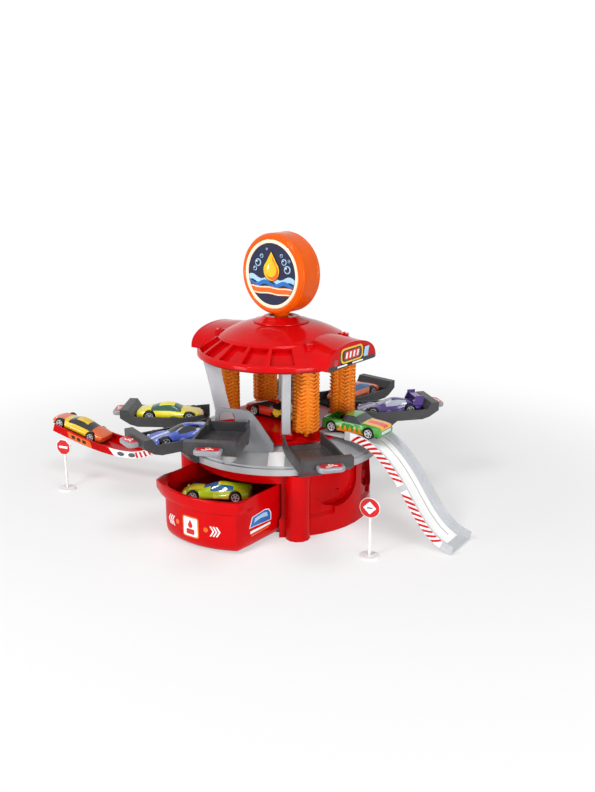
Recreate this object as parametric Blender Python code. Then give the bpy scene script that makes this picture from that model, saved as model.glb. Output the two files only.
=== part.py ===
"""A toy car wash tower: base with a pull-out water tub, deck, brush bay, roof, sign, trays and ramps.

Metres, +Z up. The origin is the middle of the base's underside. The wash bay runs along X, its exit at +X.
The water tub slides out towards -Y, and the sign faces the same way.
"""

import math

import bmesh
import bpy
from mathutils import Matrix, Vector

# Clearances
GAP = 0.0003
RUN_GAP = 0.0005
PIN_GAP = 0.0003
MERGE = 0.0000005
CORNER_SHARE = 0.9

# Base drum and its floor plate
BASE_R = 0.0875
BASE_WALL = 0.0075
SKIRT_R = 0.0905
SKIRT_H = 0.018
SKIRT_CHAMFER = 0.003
BASE_H = 0.065
PLATE_T = 0.002
COLUMN_R = 0.012
COLUMN_X = 0.067
COLUMN_Y = -0.061
ALCOVE_HALF_W = 0.026
ALCOVE_TOP = 0.059
ALCOVE_STRAIGHT = 0.046
ALCOVE_DEEP = 0.005
ALCOVE_DROP = 0.021
ALCOVE_ANGLES = (-16, 26, 68, 112, 154, 196)

# Water tub
TUB_HALF_W = 0.051
TUB_FRONT_R = 0.0905
TUB_FRONT_CENTRE_Y = -0.050
TUB_BACK_Y = -0.020
TUB_FLOOR_Z = 0.0026
TUB_TOP_Z = 0.052
TUB_WALL = 0.0022
BASIN_Z = 0.0330
TUB_CORNER_R = 0.0135
BAND_CORNER_R = 0.0080
BAND_OUT = 0.0022
BAND_H = 0.011
BAND_BACK_Y = -0.062
PANEL_HALF_W = 0.036
PANEL_Z = 0.022
PANEL_HALF_H = 0.014
PANEL_DEEP = 0.0012
RAIL_T = 0.002
RAIL_H = 0.006
RAIL_FRONT_Y = -0.060
RAIL_BACK_Y = 0.034

# Deck
DECK_R = 0.100
DECK_RIM_H = 0.0062
DECK_STEP = 0.0015
DECK_STEP_R = DECK_R - 0.0035
DECK_INNER_R = 0.064
DECK_INNER_TOP = BASE_H + 0.0190
DECK_T = 0.003
DECK_SEAT_R = 0.079

# Wash bay floor
BAY_R = 0.0683
BAY_FLOOR_Z = BASE_H + 0.0255
BAY_FLAT_R = 0.050
BAY_KERB_R = 0.054
BAY_KERB_H = 0.002
BAY_T = 0.0025
BAY_EDGE_H = 0.0017
LANE_HALF_W = 0.0195
PAD_H = 0.0012
PAD_MARGIN = 0.0015

# Pillars
PILLAR_ANGLES = (48, 128, 234, 312)
PILLAR_FOOT_IN = 0.0505
PILLAR_FOOT_OUT = 0.0660
PILLAR_LEAN = 0.0125
PILLAR_T = 0.0078
PILLAR_GROOVE_W = 0.002
PILLAR_GROOVE_DEEP = 0.001

# Arched plate behind the tipping tray: its side view, across the tray and above the base
PORTAL_T = 0.0026
PORTAL_BACK = 0.0083
PORTAL_LOW = BASE_H + 0.0040
PORTAL_OUTLINE = (
    (-0.0145, PORTAL_LOW),
    (-0.0145, BASE_H + 0.0525),
    (-0.0115, BASE_H + 0.0565),
    (0.0080, BASE_H + 0.0555),
    (0.0175, BASE_H + 0.0540),
    (0.0205, BASE_H + 0.0515),
    (0.0270, BASE_H + 0.0430),
    (0.0405, BASE_H + 0.0230),
    (0.0395, PORTAL_LOW),
)
PORTAL_HOLE_LEFT = -0.0105
PORTAL_HOLE_RIGHT = 0.0040
PORTAL_HOLE_LOW = BASE_H + 0.0350
PORTAL_HOLE_TOP = BASE_H + 0.0525
PORTAL_HOLE_ROUND = 0.0045

# Roof
ROOF_R = 0.0832
ROOF_RIM_Z = BASE_H + 0.0934
ROOF_RIM_H = 0.0036
ROOF_CREASE_R = 0.060
ROOF_CREASE_Z = BASE_H + 0.1120
ROOF_SHOULDER_R = 0.045
ROOF_SHOULDER_Z = BASE_H + 0.1195
ROOF_TOP_R = 0.0290
ROOF_HOLE_R = 0.0180
ROOF_TOP_Z = BASE_H + 0.1242
ROOF_WALL = 0.0027
ROOF_SKIRT_WALL = 0.0065
RECESS_ANGLE = 16.5
RECESS_PITCH = 19.5
RECESS_COUNT = 5
RECESS_START = 0.0025
RECESS_LENGTH = 0.0215
RECESS_DEEP = 0.0048
GABLE_X = 0.0845
GABLE_HALF_W = 0.040
GABLE_BACK_X = 0.040
GABLE_FULLNESS = 0.8
GABLE_TOP_Z = BASE_H + 0.1150
GABLE_BACK_TOP_Z = BASE_H + 0.1172
GABLE_BASE_Z = BASE_H + 0.0935
LUG_ANGLES = (28, 152, 208, 332)
LUG_R = 0.063
LUG_SIZE = 0.007
LUG_H = 0.0065
CEILING_R = 0.0795
CEILING_T = 0.0022
CEILING_Z = BASE_H + 0.0908

# Sign
COLLAR_R = 0.0275
COLLAR_EDGE_H = 0.0015
COLLAR_TOP_R = 0.0172
COLLAR_H = 0.0055
SOCKET_R = 0.0115
SOCKET_DEEP = 0.0015
NECK_R = 0.0068
SIGN_Z = BASE_H + 0.1715
SIGN_R = 0.0388
SIGN_BODY_R = 0.0375
SIGN_BEZEL_W = 0.0070
SIGN_DEPTH = 0.031
SIGN_BEZEL_STEP = 0.0025
SIGN_RECESS_R = 0.0334
SIGN_RECESS_DEEP = 0.0025
SIGN_FACE_T = 0.0015
SIGN_TURN = math.radians(-2.0)

# Brushes
BRUSH_Y = 0.030
BRUSH_EXIT_X = 0.053
BRUSH_ENTRY_X = -0.046
BRUSH_R = 0.0130
BRUSH_CORE_R = 0.0112
BRUSH_END_GAP = 0.0026
BRUSH_ROWS = 10
BRUSH_FINS = 8
BRUSH_FIN_T = 0.0030
BRUSH_FIN_SHARE = 0.80
BRUSH_TIP_SHARE = 0.75
BRUSH_ROOT_SHARE = 0.84
TRUNNION_R = 0.0020
TRUNNION_LENGTH = 0.0018

# Trays
TRAY_ANGLES = (214, 251, 323, 51, 85, 121)
HINGE_R = 0.0780
HINGE_Z = BASE_H + 0.0165
HINGE_BARREL_R = 0.0019
HINGE_BARREL_HALF = 0.0150
STRAP_HALF_L = 0.0014
STRAP_HALF_W = 0.0142
HINGE_PIN_R = 0.0010
HINGE_PIN_HALF = 0.0178
EAR_T = 0.0026
EAR_R = 0.0026
EAR_STEPS = 4
TRAY_IN_R = 0.0762
TRAY_OUT_R = 0.1600
TRAY_HALF_W = 0.0220
TRAY_IN_HALF_W = 0.0192
TRAY_TAPER_R = 0.1000
TRAY_BOTTOM_Z = BASE_H + 0.0195
TRAY_FLOOR_T = 0.0022
TRAY_WALL = 0.0019
TRAY_WALL_TOP_IN = BASE_H + 0.0325
TRAY_WALL_TOP_OUT = BASE_H + 0.0295
TRAY_HORN_LENGTH = 0.0200
TRAY_BLOCK_R = 0.1470
TRAY_BLOCK_TOP_Z = BASE_H + 0.0365
TRAY_BLOCK_CHAMFER = 0.0045
TRAY_NOSE_Z = BASE_H + 0.0280
TRAY_NOSE_R = 0.1500
TAB_OUT = 0.0140
TAB_HALF_W = 0.0125
TAB_T = 0.0048
TAB_TOP_Z = BASE_H + 0.0325
KEEL_HALF_W = 0.0110
KEEL_BOTTOM_Z = BASE_H + 0.0005
KEEL_FOOT = 0.0035
KEEL_LENGTH = 0.0270
KEEL_CURVE = ((0.35, 0.40), (0.65, 0.75))

# Tipping tray and its post
TIPPER_AT_R = 0.0915
TIPPER_ANGLE = 276.4
TIPPER_TURN = 300
TIPPER_HINGE_Z = BASE_H + 0.0315
TIPPER_TIP = math.radians(1.0)
TIPPER_END_TOP_Z = BASE_H + 0.0305
TIPPER_END_T = 0.0024
TIPPER_SLOPE_R = 0.0900
POST_R = 0.0042
POST_PIN_R = 0.0020
BOSS_R = 0.0065
BOSS_TOP_Z = BASE_H + 0.0170

# Exit ramp
RAMP_ANGLE = 3.5
RAMP_HALF_W = 0.0205
RAMP_T = 0.0022
RAMP_WALL = 0.0020
RAMP_WALL_H = 0.0062
RAMP_TONGUE_HALF_W = 0.0170
RAMP_TONGUE_X = 0.0545
RAMP_WIDE_X = 0.0860
# The slide: how far out each point is, and its height as a share of the bay floor's.
RAMP_SHAPE = (
    (RAMP_WIDE_X, 1.0000),
    (0.0950, 0.9978),
    (0.1040, 0.9779),
    (0.1130, 0.9370),
    (0.1220, 0.8729),
    (0.1310, 0.7845),
    (0.1400, 0.6740),
    (0.1490, 0.5414),
    (0.1580, 0.3978),
    (0.1670, 0.2652),
    (0.1770, 0.1492),
    (0.1880, 0.0718),
    (0.2000, 0.0298),
)
RAMP_PATH = tuple((x, BAY_FLOOR_Z * share) for x, share in RAMP_SHAPE)

# Launch ramp
LAUNCH_ANGLE = 196
LAUNCH_HALF_W = 0.0190
LAUNCH_T = 0.0024
LAUNCH_WALL = 0.0022
LAUNCH_WALL_H = 0.0060
HOOK_HALF_W = 0.0100
# The track: how far past the deck's rim each point is, and its height as a share of the base's.
LAUNCH_SHAPE = (
    (0.0018, 1.1200),
    (0.0090, 1.0615),
    (0.0180, 0.9385),
    (0.0280, 0.7846),
    (0.0390, 0.6462),
    (0.0520, 0.5462),
    (0.0670, 0.5000),
    (0.0850, 0.5000),
    (0.1050, 0.5385),
    (0.1250, 0.6077),
    (0.1440, 0.6923),
    (0.1660, 0.8000),
)
LAUNCH_PATH = tuple((DECK_R + past, BASE_H * share) for past, share in LAUNCH_SHAPE)

# Road signs
ROAD_SIGN_H = 0.0575
ROAD_POST_R = 0.0013
ROAD_FOOT_R = 0.0095
ROAD_FOOT_T = 0.0022
ROAD_FOOT_TOP_SHARE = 0.9
ROAD_PLATE_R = 0.0095
ROAD_PLATE_T = 0.0014
ROAD_SOCKET_DEEP = 0.0016
OCTAGON_SIGN_AT = (-0.202, -0.115)
ROUND_SIGN_AT = (0.143, -0.0545)
ROAD_SIGN_TURN = math.radians(15.0)

# Cars
CAR_LENGTH = 0.0668
CAR_HALF_W = 0.0140
CAR_CLEAR = 0.0022
CAR_END_SHARE = 0.45
CAR_END_W = 0.86
CAR_END_FOOT_W = 0.82
CAR_FOOT_W = 0.94
CAR_END_LIFT = 1.3
WHEEL_R = 0.0055
WHEEL_W = 0.0048
WHEELBASE = 0.0405
WHEEL_SHIFT = 0.0010
AXLE_R = 0.0010
ARCH_GAP = 0.0009
TRAY_CAR_R = 0.1132
BAY_CAR_X = -0.006
EXIT_CAR_X = 0.0860
TUB_CAR_X = -0.004
TUB_CAR_Y = -0.094
TUB_CAR_TURN = 213
LAUNCH_CAR_LIFT = 0.0006
LAUNCH_CAR_BACK = 0.0235

ROUND_STEPS = 40
SMALL_STEPS = 12
WHEEL_STEPS = 10
ARCH_STEPS = 8
PIN_STEPS = 6
DISC_STEPS = 28

COLOURS = {
    "red": (0.78, 0.02, 0.02, 0.28),
    "dark_red": (0.55, 0.01, 0.01, 0.35),
    "light_grey": (0.58, 0.59, 0.60, 0.40),
    "deck_grey": (0.38, 0.39, 0.40, 0.40),
    "charcoal": (0.035, 0.035, 0.037, 0.45),
    "orange": (0.90, 0.25, 0.02, 0.32),
    "brush_orange": (0.92, 0.30, 0.04, 0.50),
    "navy": (0.01, 0.012, 0.07, 0.30),
    "white": (0.85, 0.85, 0.84, 0.40),
    "yellow": (0.90, 0.70, 0.02, 0.25),
    "blue": (0.10, 0.18, 0.60, 0.25),
    "purple": (0.14, 0.03, 0.30, 0.25),
    "coral": (0.90, 0.25, 0.09, 0.25),
    "green": (0.05, 0.38, 0.06, 0.25),
    "lime": (0.55, 0.75, 0.03, 0.25),
    "tyre": (0.02, 0.02, 0.02, 0.60),
}


def clear_scene():
    for obj in list(bpy.data.objects):
        bpy.data.objects.remove(obj, do_unlink=True)


def material(name):
    found = bpy.data.materials.get(name)
    if found:
        return found
    red, green, blue, rough = COLOURS[name]
    made = bpy.data.materials.new(name)
    made.use_nodes = True
    shader = made.node_tree.nodes["Principled BSDF"]
    shader.inputs["Base Color"].default_value = (red, green, blue, 1.0)
    shader.inputs["Roughness"].default_value = rough
    shader.inputs["Metallic"].default_value = 0.0
    return made


def add_object(name, bm, colour, parent=None):
    bmesh.ops.remove_doubles(bm, verts=bm.verts, dist=MERGE)
    bmesh.ops.recalc_face_normals(bm, faces=bm.faces)
    mesh = bpy.data.meshes.new(name)
    bm.to_mesh(mesh)
    bm.free()
    mesh.materials.append(material(colour))
    obj = bpy.data.objects.new(name, mesh)
    bpy.context.scene.collection.objects.link(obj)
    mesh.shade_smooth()
    mesh.set_sharp_from_angle(angle=math.radians(32))
    obj.parent = parent
    return obj


def add_tool(name, bm, parent=None):
    tool = add_object(name, bm, "red", parent)
    tool.hide_render = True
    tool.display_type = "WIRE"
    return tool


def combine(target, tool, operation):
    change = target.modifiers.new(operation.title() + " " + tool.name, "BOOLEAN")
    change.operation = operation
    change.solver = "EXACT"
    change.object = tool
    return target


def add_empty(name, location=(0, 0, 0), turn=0.0, tilt=0.0, parent=None):
    empty = bpy.data.objects.new(name, None)
    empty.location = location
    empty.rotation_euler = (0.0, -tilt, turn)
    bpy.context.scene.collection.objects.link(empty)
    empty.parent = parent
    return empty


def turned(profile, steps=ROUND_STEPS, loop=True, start=0.0, sweep=math.tau):
    """A body turned about Z from (radius, height) points: a loop is a ring, a line ends on the axis."""
    bm = bmesh.new()
    cos, sin = math.cos(start), math.sin(start)
    verts = [bm.verts.new((r * cos, r * sin, z)) for r, z in profile]
    whole = abs(sweep - math.tau) < 1e-9
    if whole:
        follow = verts[1:] + verts[:1] if loop else verts[1:]
        edges = [bm.edges.new(pair) for pair in zip(verts, follow)]
        geom = verts + edges
    else:
        geom = [bm.faces.new(verts)]
    centre = (0, 0, 0)
    bmesh.ops.spin(bm, geom=geom, cent=centre, axis=(0, 0, 1), angle=sweep, steps=steps, use_merge=whole)
    bmesh.ops.remove_doubles(bm, verts=bm.verts, dist=MERGE)
    return bm


def prism(outline, low, high):
    """The (x, y) outline as a plate between two heights."""
    bm = bmesh.new()
    face = bm.faces.new([bm.verts.new((x, y, low)) for x, y in outline])
    top = bmesh.ops.extrude_face_region(bm, geom=[face])
    moved = [v for v in top["geom"] if isinstance(v, bmesh.types.BMVert)]
    bmesh.ops.translate(bm, verts=moved, vec=(0, 0, high - low))
    return bm


def side_prism(outline, half_width):
    """The (x, z) outline as a body from -half_width to half_width along Y."""
    bm = prism(outline, -half_width, half_width)
    bmesh.ops.rotate(bm, verts=bm.verts, cent=(0, 0, 0), matrix=Matrix.Rotation(math.pi / 2, 3, "X"))
    return bm


def box(low, high):
    outline = [(low[0], low[1]), (high[0], low[1]), (high[0], high[1]), (low[0], high[1])]
    return prism(outline, low[2], high[2])


def drum(radius, low, high, steps=SMALL_STEPS):
    return turned([(0, high), (radius, high), (radius, low), (0, low)], steps, loop=False)


def placed(bm, location=(0, 0, 0), turn=0.0, tip=0.0):
    """Tips the mesh about Y, turns it about Z and then moves it."""
    move = Matrix.Translation(location) @ Matrix.Rotation(turn, 4, "Z") @ Matrix.Rotation(tip, 4, "Y")
    bmesh.ops.transform(bm, matrix=move, verts=bm.verts)
    return bm


def across(bm):
    """Lays a body made along Z down along Y."""
    bmesh.ops.rotate(bm, verts=bm.verts, cent=(0, 0, 0), matrix=Matrix.Rotation(math.pi / 2, 3, "X"))
    return bm


def merged(*parts):
    """Several closed meshes as one tool mesh; they don't touch each other."""
    whole = bmesh.new()
    for part in parts:
        mesh = bpy.data.meshes.new("part")
        part.to_mesh(mesh)
        part.free()
        whole.from_mesh(mesh)
        bpy.data.meshes.remove(mesh)
    return whole


def arc(centre, radius, start, stop, steps):
    """Points round a circle from one angle in degrees to another."""
    angles = [math.radians(start + (stop - start) * i / steps) for i in range(steps + 1)]
    return [(centre[0] + radius * math.cos(a), centre[1] + radius * math.sin(a)) for a in angles]


def polar(radius, angle):
    return Vector((radius * math.cos(math.radians(angle)), radius * math.sin(math.radians(angle)), 0.0))


def up(height):
    return Vector((0, 0, height))


def offset_path(path, distance):
    """The same path moved square to itself; a positive distance moves it to its left."""
    moved = []
    for i, (x, z) in enumerate(path):
        before = path[max(i - 1, 0)]
        after = path[min(i + 1, len(path) - 1)]
        dx, dz = after[0] - before[0], after[1] - before[1]
        length = math.hypot(dx, dz)
        moved.append((x - dz / length * distance, z + dx / length * distance))
    return moved


def base_plate():
    """The floor plate inside the drum, with the two rails that guide the water tub."""
    radius = math.hypot(COLUMN_X, COLUMN_Y) - COLUMN_R - GAP
    plate = add_object("base_plate", drum(radius, 0, PLATE_T, ROUND_STEPS), "dark_red")
    rail_x = TUB_HALF_W + RUN_GAP
    sink = PLATE_T / 2
    rails = merged(
        box((rail_x, RAIL_FRONT_Y, sink), (rail_x + RAIL_T, RAIL_BACK_Y, PLATE_T + RAIL_H)),
        box((-rail_x - RAIL_T, RAIL_FRONT_Y, sink), (-rail_x, RAIL_BACK_Y, PLATE_T + RAIL_H)),
    )
    return combine(plate, add_tool("rails_tool", rails), "UNION")


def alcove_cutter(angle):
    """A D-shaped alcove: flat top and sides, with a rounded bottom, cut square to the drum."""
    bottom = []
    for i in range(7):
        turn = math.pi * i / 6
        bottom.append((-ALCOVE_HALF_W * math.cos(turn), ALCOVE_STRAIGHT - ALCOVE_DROP * math.sin(turn)))
    outline = bottom + [(ALCOVE_HALF_W, ALCOVE_TOP), (-ALCOVE_HALF_W, ALCOVE_TOP)]
    cutter = prism(outline, BASE_R - ALCOVE_DEEP, SKIRT_R + ALCOVE_DEEP)
    stand = Matrix(((0, 0, 1, 0), (1, 0, 0, 0), (0, 1, 0, 0), (0, 0, 0, 1)))
    bmesh.ops.transform(cutter, matrix=stand, verts=cutter.verts)
    return placed(cutter, turn=math.radians(angle))


def base_shell():
    """The drum wall with its skirt, two front columns, the tub's mouth and the alcoves."""
    inner = BASE_R - BASE_WALL
    profile = [
        (SKIRT_R, 0),
        (SKIRT_R, SKIRT_H),
        (BASE_R, SKIRT_H + SKIRT_CHAMFER),
        (BASE_R, BASE_H),
        (inner, BASE_H),
        (inner, 0),
    ]
    shell = add_object("base_shell", turned(profile), "red")
    columns = merged(
        placed(drum(COLUMN_R, 0, BASE_H, SMALL_STEPS), (COLUMN_X, COLUMN_Y, 0)),
        placed(drum(COLUMN_R, 0, BASE_H, SMALL_STEPS), (-COLUMN_X, COLUMN_Y, 0)),
    )
    combine(shell, add_tool("columns_tool", columns), "UNION")
    mouth_x = TUB_HALF_W + BAND_OUT + RUN_GAP
    below = -BASE_H
    mouth = box((-mouth_x, -2 * DECK_R, below), (mouth_x, COLUMN_Y / 2, TUB_TOP_Z + RUN_GAP))
    combine(shell, add_tool("mouth_tool", mouth), "DIFFERENCE")
    alcoves = merged(*[alcove_cutter(angle) for angle in ALCOVE_ANGLES])
    return combine(shell, add_tool("alcoves_tool", alcoves), "DIFFERENCE")


def tub_outline(grow, front_grow):
    """The tub seen from above: straight sides and back, front on the drum's own curve."""
    half = TUB_HALF_W + grow
    radius = TUB_FRONT_R + front_grow
    edge = math.degrees(math.acos(half / radius))
    front = arc((0, TUB_FRONT_CENTRE_Y), radius, 180 + edge, 360 - edge, 12)
    return front + [(half, TUB_BACK_Y + grow), (-half, TUB_BACK_Y + grow)]


def rounded_outline(outline, radius, corners):
    """Cuts the named corners of an outline back to a curve of four points."""
    result = []
    count = len(outline)
    for i, point in enumerate(outline):
        if i not in corners:
            result.append(point)
            continue
        here = Vector(point)
        before = Vector(outline[i - 1])
        after = Vector(outline[(i + 1) % count])
        first = here + (before - here).normalized() * min(radius, (before - here).length * CORNER_SHARE)
        last = here + (after - here).normalized() * min(radius, (after - here).length * CORNER_SHARE)
        for k in range(5):
            t = k / 4
            curve = first * (1 - t) ** 2 + here * 2 * t * (1 - t) + last * t ** 2
            result.append((curve.x, curve.y))
    return result


def water_tub():
    """The open tub with an overhanging band round its front and a shallow oval panel."""
    outline = tub_outline(0, 0)
    corners = (0, 12, 13, 14)
    body = prism(rounded_outline(outline, TUB_CORNER_R, corners), TUB_FLOOR_Z, TUB_TOP_Z)
    tub = add_object("water_tub", body, "red")
    band_outline = tub_outline(BAND_OUT, BAND_OUT)
    band_outline[13] = (TUB_HALF_W + BAND_OUT, BAND_BACK_Y)
    band_outline[14] = (-TUB_HALF_W - BAND_OUT, BAND_BACK_Y)
    band = prism(rounded_outline(band_outline, BAND_CORNER_R, (0, 12)), TUB_TOP_Z - BAND_H, TUB_TOP_Z)
    combine(tub, add_tool("tub_band_tool", band), "UNION")
    inside = rounded_outline(tub_outline(-TUB_WALL, -TUB_WALL), TUB_CORNER_R - TUB_WALL, corners)
    hollows = merged(
        prism(inside, BASIN_Z, TUB_TOP_Z + TUB_WALL),
        prism(inside, TUB_FLOOR_Z - TUB_WALL, BASIN_Z - TUB_WALL),
    )
    combine(tub, add_tool("tub_hollow_tool", hollows), "DIFFERENCE")
    oval = [(PANEL_HALF_W * math.cos(a), PANEL_Z + PANEL_HALF_H * math.sin(a)) for a in
            [math.tau * i / 20 for i in range(20)]]
    front_y = TUB_FRONT_CENTRE_Y - TUB_FRONT_R
    ring = turned(
        [
            (TUB_FRONT_R - PANEL_DEEP, PANEL_Z - PANEL_HALF_H),
            (TUB_FRONT_R + BAND_OUT, PANEL_Z - PANEL_HALF_H),
            (TUB_FRONT_R + BAND_OUT, PANEL_Z + PANEL_HALF_H),
            (TUB_FRONT_R - PANEL_DEEP, PANEL_Z + PANEL_HALF_H),
        ],
        12,
        start=math.radians(270) - PANEL_HALF_W / TUB_FRONT_R,
        sweep=2 * PANEL_HALF_W / TUB_FRONT_R,
    )
    panel = add_tool("tub_panel_tool", placed(ring, (0, TUB_FRONT_CENTRE_Y, 0)))
    window = add_tool("tub_oval_tool", placed(side_prism(oval, BAND_OUT * 8), (0, front_y, 0)))
    combine(panel, window, "INTERSECT")
    return combine(tub, panel, "DIFFERENCE")


def cone_height(radius):
    """The height of the deck's sloping top at a radius."""
    rim_top = BASE_H + GAP + DECK_RIM_H + DECK_STEP
    share = (DECK_STEP_R - radius) / (DECK_STEP_R - DECK_INNER_R)
    return rim_top + share * (DECK_INNER_TOP - rim_top)


def ear(side, low, axis_z):
    """One round-topped hinge ear standing over the origin, beside the barrel."""
    top = arc((0, axis_z), EAR_R, 0, 180, EAR_STEPS)
    middle = HINGE_BARREL_HALF + PIN_GAP + EAR_T / 2
    return placed(side_prism([(EAR_R, low)] + top + [(-EAR_R, low)], EAR_T / 2), (0, side * middle, 0))


def hinge_ears(angle):
    """The two ears that hold one tray's pin, rooted in the sloping deck."""
    low = cone_height(HINGE_R) - DECK_T / 2
    return [placed(ear(side, low, HINGE_Z), polar(HINGE_R, angle), math.radians(angle)) for side in (-1, 1)]


def hinge_bores(angle):
    """The pin holes through both ears of one tray's hinge."""
    half = HINGE_BARREL_HALF + PIN_GAP + EAR_T + PIN_GAP
    bore = across(drum(HINGE_PIN_R + PIN_GAP, -half, half, PIN_STEPS))
    return placed(bore, polar(HINGE_R, angle) + Vector((0, 0, HINGE_Z)), math.radians(angle))


def deck():
    """The grey deck: a rim, a low step and a cone up to the wash bay, with the trays' hinge ears."""
    low = BASE_H + GAP
    rim_top = low + DECK_RIM_H
    profile = [
        (DECK_R, low),
        (DECK_R, rim_top),
        (DECK_STEP_R, rim_top),
        (DECK_STEP_R, rim_top + DECK_STEP),
        (DECK_INNER_R, DECK_INNER_TOP),
        (DECK_INNER_R, DECK_INNER_TOP - DECK_T),
        (DECK_SEAT_R, cone_height(DECK_SEAT_R) - DECK_T),
        (DECK_SEAT_R, low),
    ]
    plate = add_object("deck", turned(profile), "deck_grey")
    ears = merged(*[ear for angle in TRAY_ANGLES for ear in hinge_ears(angle)])
    combine(plate, add_tool("ears_tool", ears), "UNION")
    post_at = polar(TIPPER_AT_R, TIPPER_ANGLE)
    boss_low = cone_height(TIPPER_AT_R + BOSS_R) - DECK_T / 2
    boss = placed(drum(BOSS_R, boss_low, BOSS_TOP_Z), post_at)
    combine(plate, add_tool("boss_tool", boss), "UNION")
    bores = merged(*[hinge_bores(angle) for angle in TRAY_ANGLES])
    combine(plate, add_tool("ear_bores_tool", bores), "DIFFERENCE")
    seat = BOSS_TOP_Z - POST_R - GAP
    socket = placed(drum(POST_PIN_R + PIN_GAP, seat, 2 * BOSS_TOP_Z, SMALL_STEPS), post_at)
    return combine(plate, add_tool("boss_bore_tool", socket), "DIFFERENCE")


def wash_bay_floor():
    """The red floor of the bay: flat in the middle, a low kerb and a sloping edge on the deck."""
    seat = DECK_INNER_TOP + GAP
    kerb = BAY_FLOOR_Z + BAY_KERB_H
    profile = [
        (0, BAY_FLOOR_Z),
        (BAY_FLAT_R, BAY_FLOOR_Z),
        (BAY_KERB_R, kerb),
        (BAY_R, seat + BAY_EDGE_H),
        (BAY_R, seat),
        (DECK_INNER_R - BAY_T, seat),
        (BAY_KERB_R, BAY_FLOOR_Z - BAY_T),
        (0, BAY_FLOOR_Z - BAY_T),
    ]
    floor = add_object("wash_bay_floor", turned(profile, loop=False), "dark_red")
    pads = []
    sink = BAY_FLOOR_Z - BAY_T / 2
    for angle in PILLAR_ANGLES:
        low = (PILLAR_FOOT_IN - PAD_MARGIN, -PILLAR_T / 2 - PAD_MARGIN, sink)
        high = (PILLAR_FOOT_OUT + PAD_MARGIN, PILLAR_T / 2 + PAD_MARGIN, kerb + PAD_H)
        pads.append(placed(box(low, high), turn=math.radians(angle)))
    combine(floor, add_tool("pads_tool", merged(*pads)), "UNION")
    notch = RAMP_TONGUE_HALF_W + GAP
    notch_low = BAY_FLOOR_Z - RAMP_T - GAP
    exit_notch = box((RAMP_TONGUE_X - GAP, -notch, notch_low), (2 * BAY_R, notch, 2 * kerb))
    lane_x = -math.sqrt(BAY_FLAT_R ** 2 - LANE_HALF_W ** 2)
    notches = merged(
        placed(exit_notch, turn=math.radians(RAMP_ANGLE)),
        box((-2 * BAY_R, -LANE_HALF_W, BAY_FLOOR_Z), (lane_x, LANE_HALF_W, 2 * kerb)),
    )
    combine(floor, add_tool("lane_tool", notches), "DIFFERENCE")
    sockets = []
    for x in (BRUSH_ENTRY_X, BRUSH_EXIT_X):
        for y in (-BRUSH_Y, BRUSH_Y):
            hole = drum(TRUNNION_R + PIN_GAP, BAY_FLOOR_Z - 2 * BAY_T, 2 * kerb)
            sockets.append(placed(hole, (x, y, 0)))
    return combine(floor, add_tool("sockets_tool", merged(*sockets)), "DIFFERENCE")


def pillar(number, angle):
    """A radial fin that leans out towards the roof, with a groove down its outer edge."""
    foot = BAY_FLOOR_Z + BAY_KERB_H + PAD_H + GAP
    head = CEILING_Z - GAP
    outline = [
        (PILLAR_FOOT_IN, foot),
        (PILLAR_FOOT_OUT, foot),
        (PILLAR_FOOT_OUT + PILLAR_LEAN, head),
        (PILLAR_FOOT_IN + PILLAR_LEAN, head),
    ]
    fin = placed(side_prism(outline, PILLAR_T / 2), turn=math.radians(angle))
    made = add_object(f"pillar_{number}", fin, "light_grey")
    groove = [
        (PILLAR_FOOT_OUT - PILLAR_GROOVE_DEEP, foot),
        (PILLAR_FOOT_OUT + BASE_WALL, foot),
        (PILLAR_FOOT_OUT + PILLAR_LEAN + BASE_WALL, head),
        (PILLAR_FOOT_OUT + PILLAR_LEAN - PILLAR_GROOVE_DEEP, head),
    ]
    tool = placed(side_prism(groove, PILLAR_GROOVE_W / 2), turn=math.radians(angle))
    return combine(made, add_tool(f"groove_tool_{number}", tool), "DIFFERENCE")


def behind_tipper(outline, thick):
    """A plate with this side view, standing across the tipping tray's inner end."""
    turn = math.radians(TIPPER_TURN)
    plate = placed(side_prism(outline, thick / 2), (-PORTAL_BACK, 0, 0), math.pi / 2)
    return placed(plate, polar(TIPPER_AT_R, TIPPER_ANGLE), turn)


def portal():
    """A plate on the deck behind the tipping tray, with an arched hole and a long sloping foot."""
    made = add_object("side_portal", behind_tipper(PORTAL_OUTLINE, PORTAL_T), "deck_grey")
    corner = PORTAL_HOLE_ROUND
    left = arc((PORTAL_HOLE_LEFT + corner, PORTAL_HOLE_TOP - corner), corner, 180, 90, EAR_STEPS)
    right = arc((PORTAL_HOLE_RIGHT - corner, PORTAL_HOLE_TOP - corner), corner, 90, 0, EAR_STEPS)
    hole = [(PORTAL_HOLE_LEFT, PORTAL_HOLE_LOW)] + left + right + [(PORTAL_HOLE_RIGHT, PORTAL_HOLE_LOW)]
    combine(made, add_tool("portal_hole_tool", behind_tipper(hole, 2 * PORTAL_T)), "DIFFERENCE")
    step = cone_height(DECK_STEP_R) + GAP
    inner = DECK_INNER_TOP + GAP
    wide = 2 * DECK_R
    profile = [
        (0, 0),
        (wide, 0),
        (wide, step),
        (DECK_STEP_R, step),
        (DECK_INNER_R, inner),
        (0, inner),
    ]
    room = turned(profile, loop=False)
    return combine(made, add_tool("portal_foot_tool", room), "DIFFERENCE")


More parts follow.
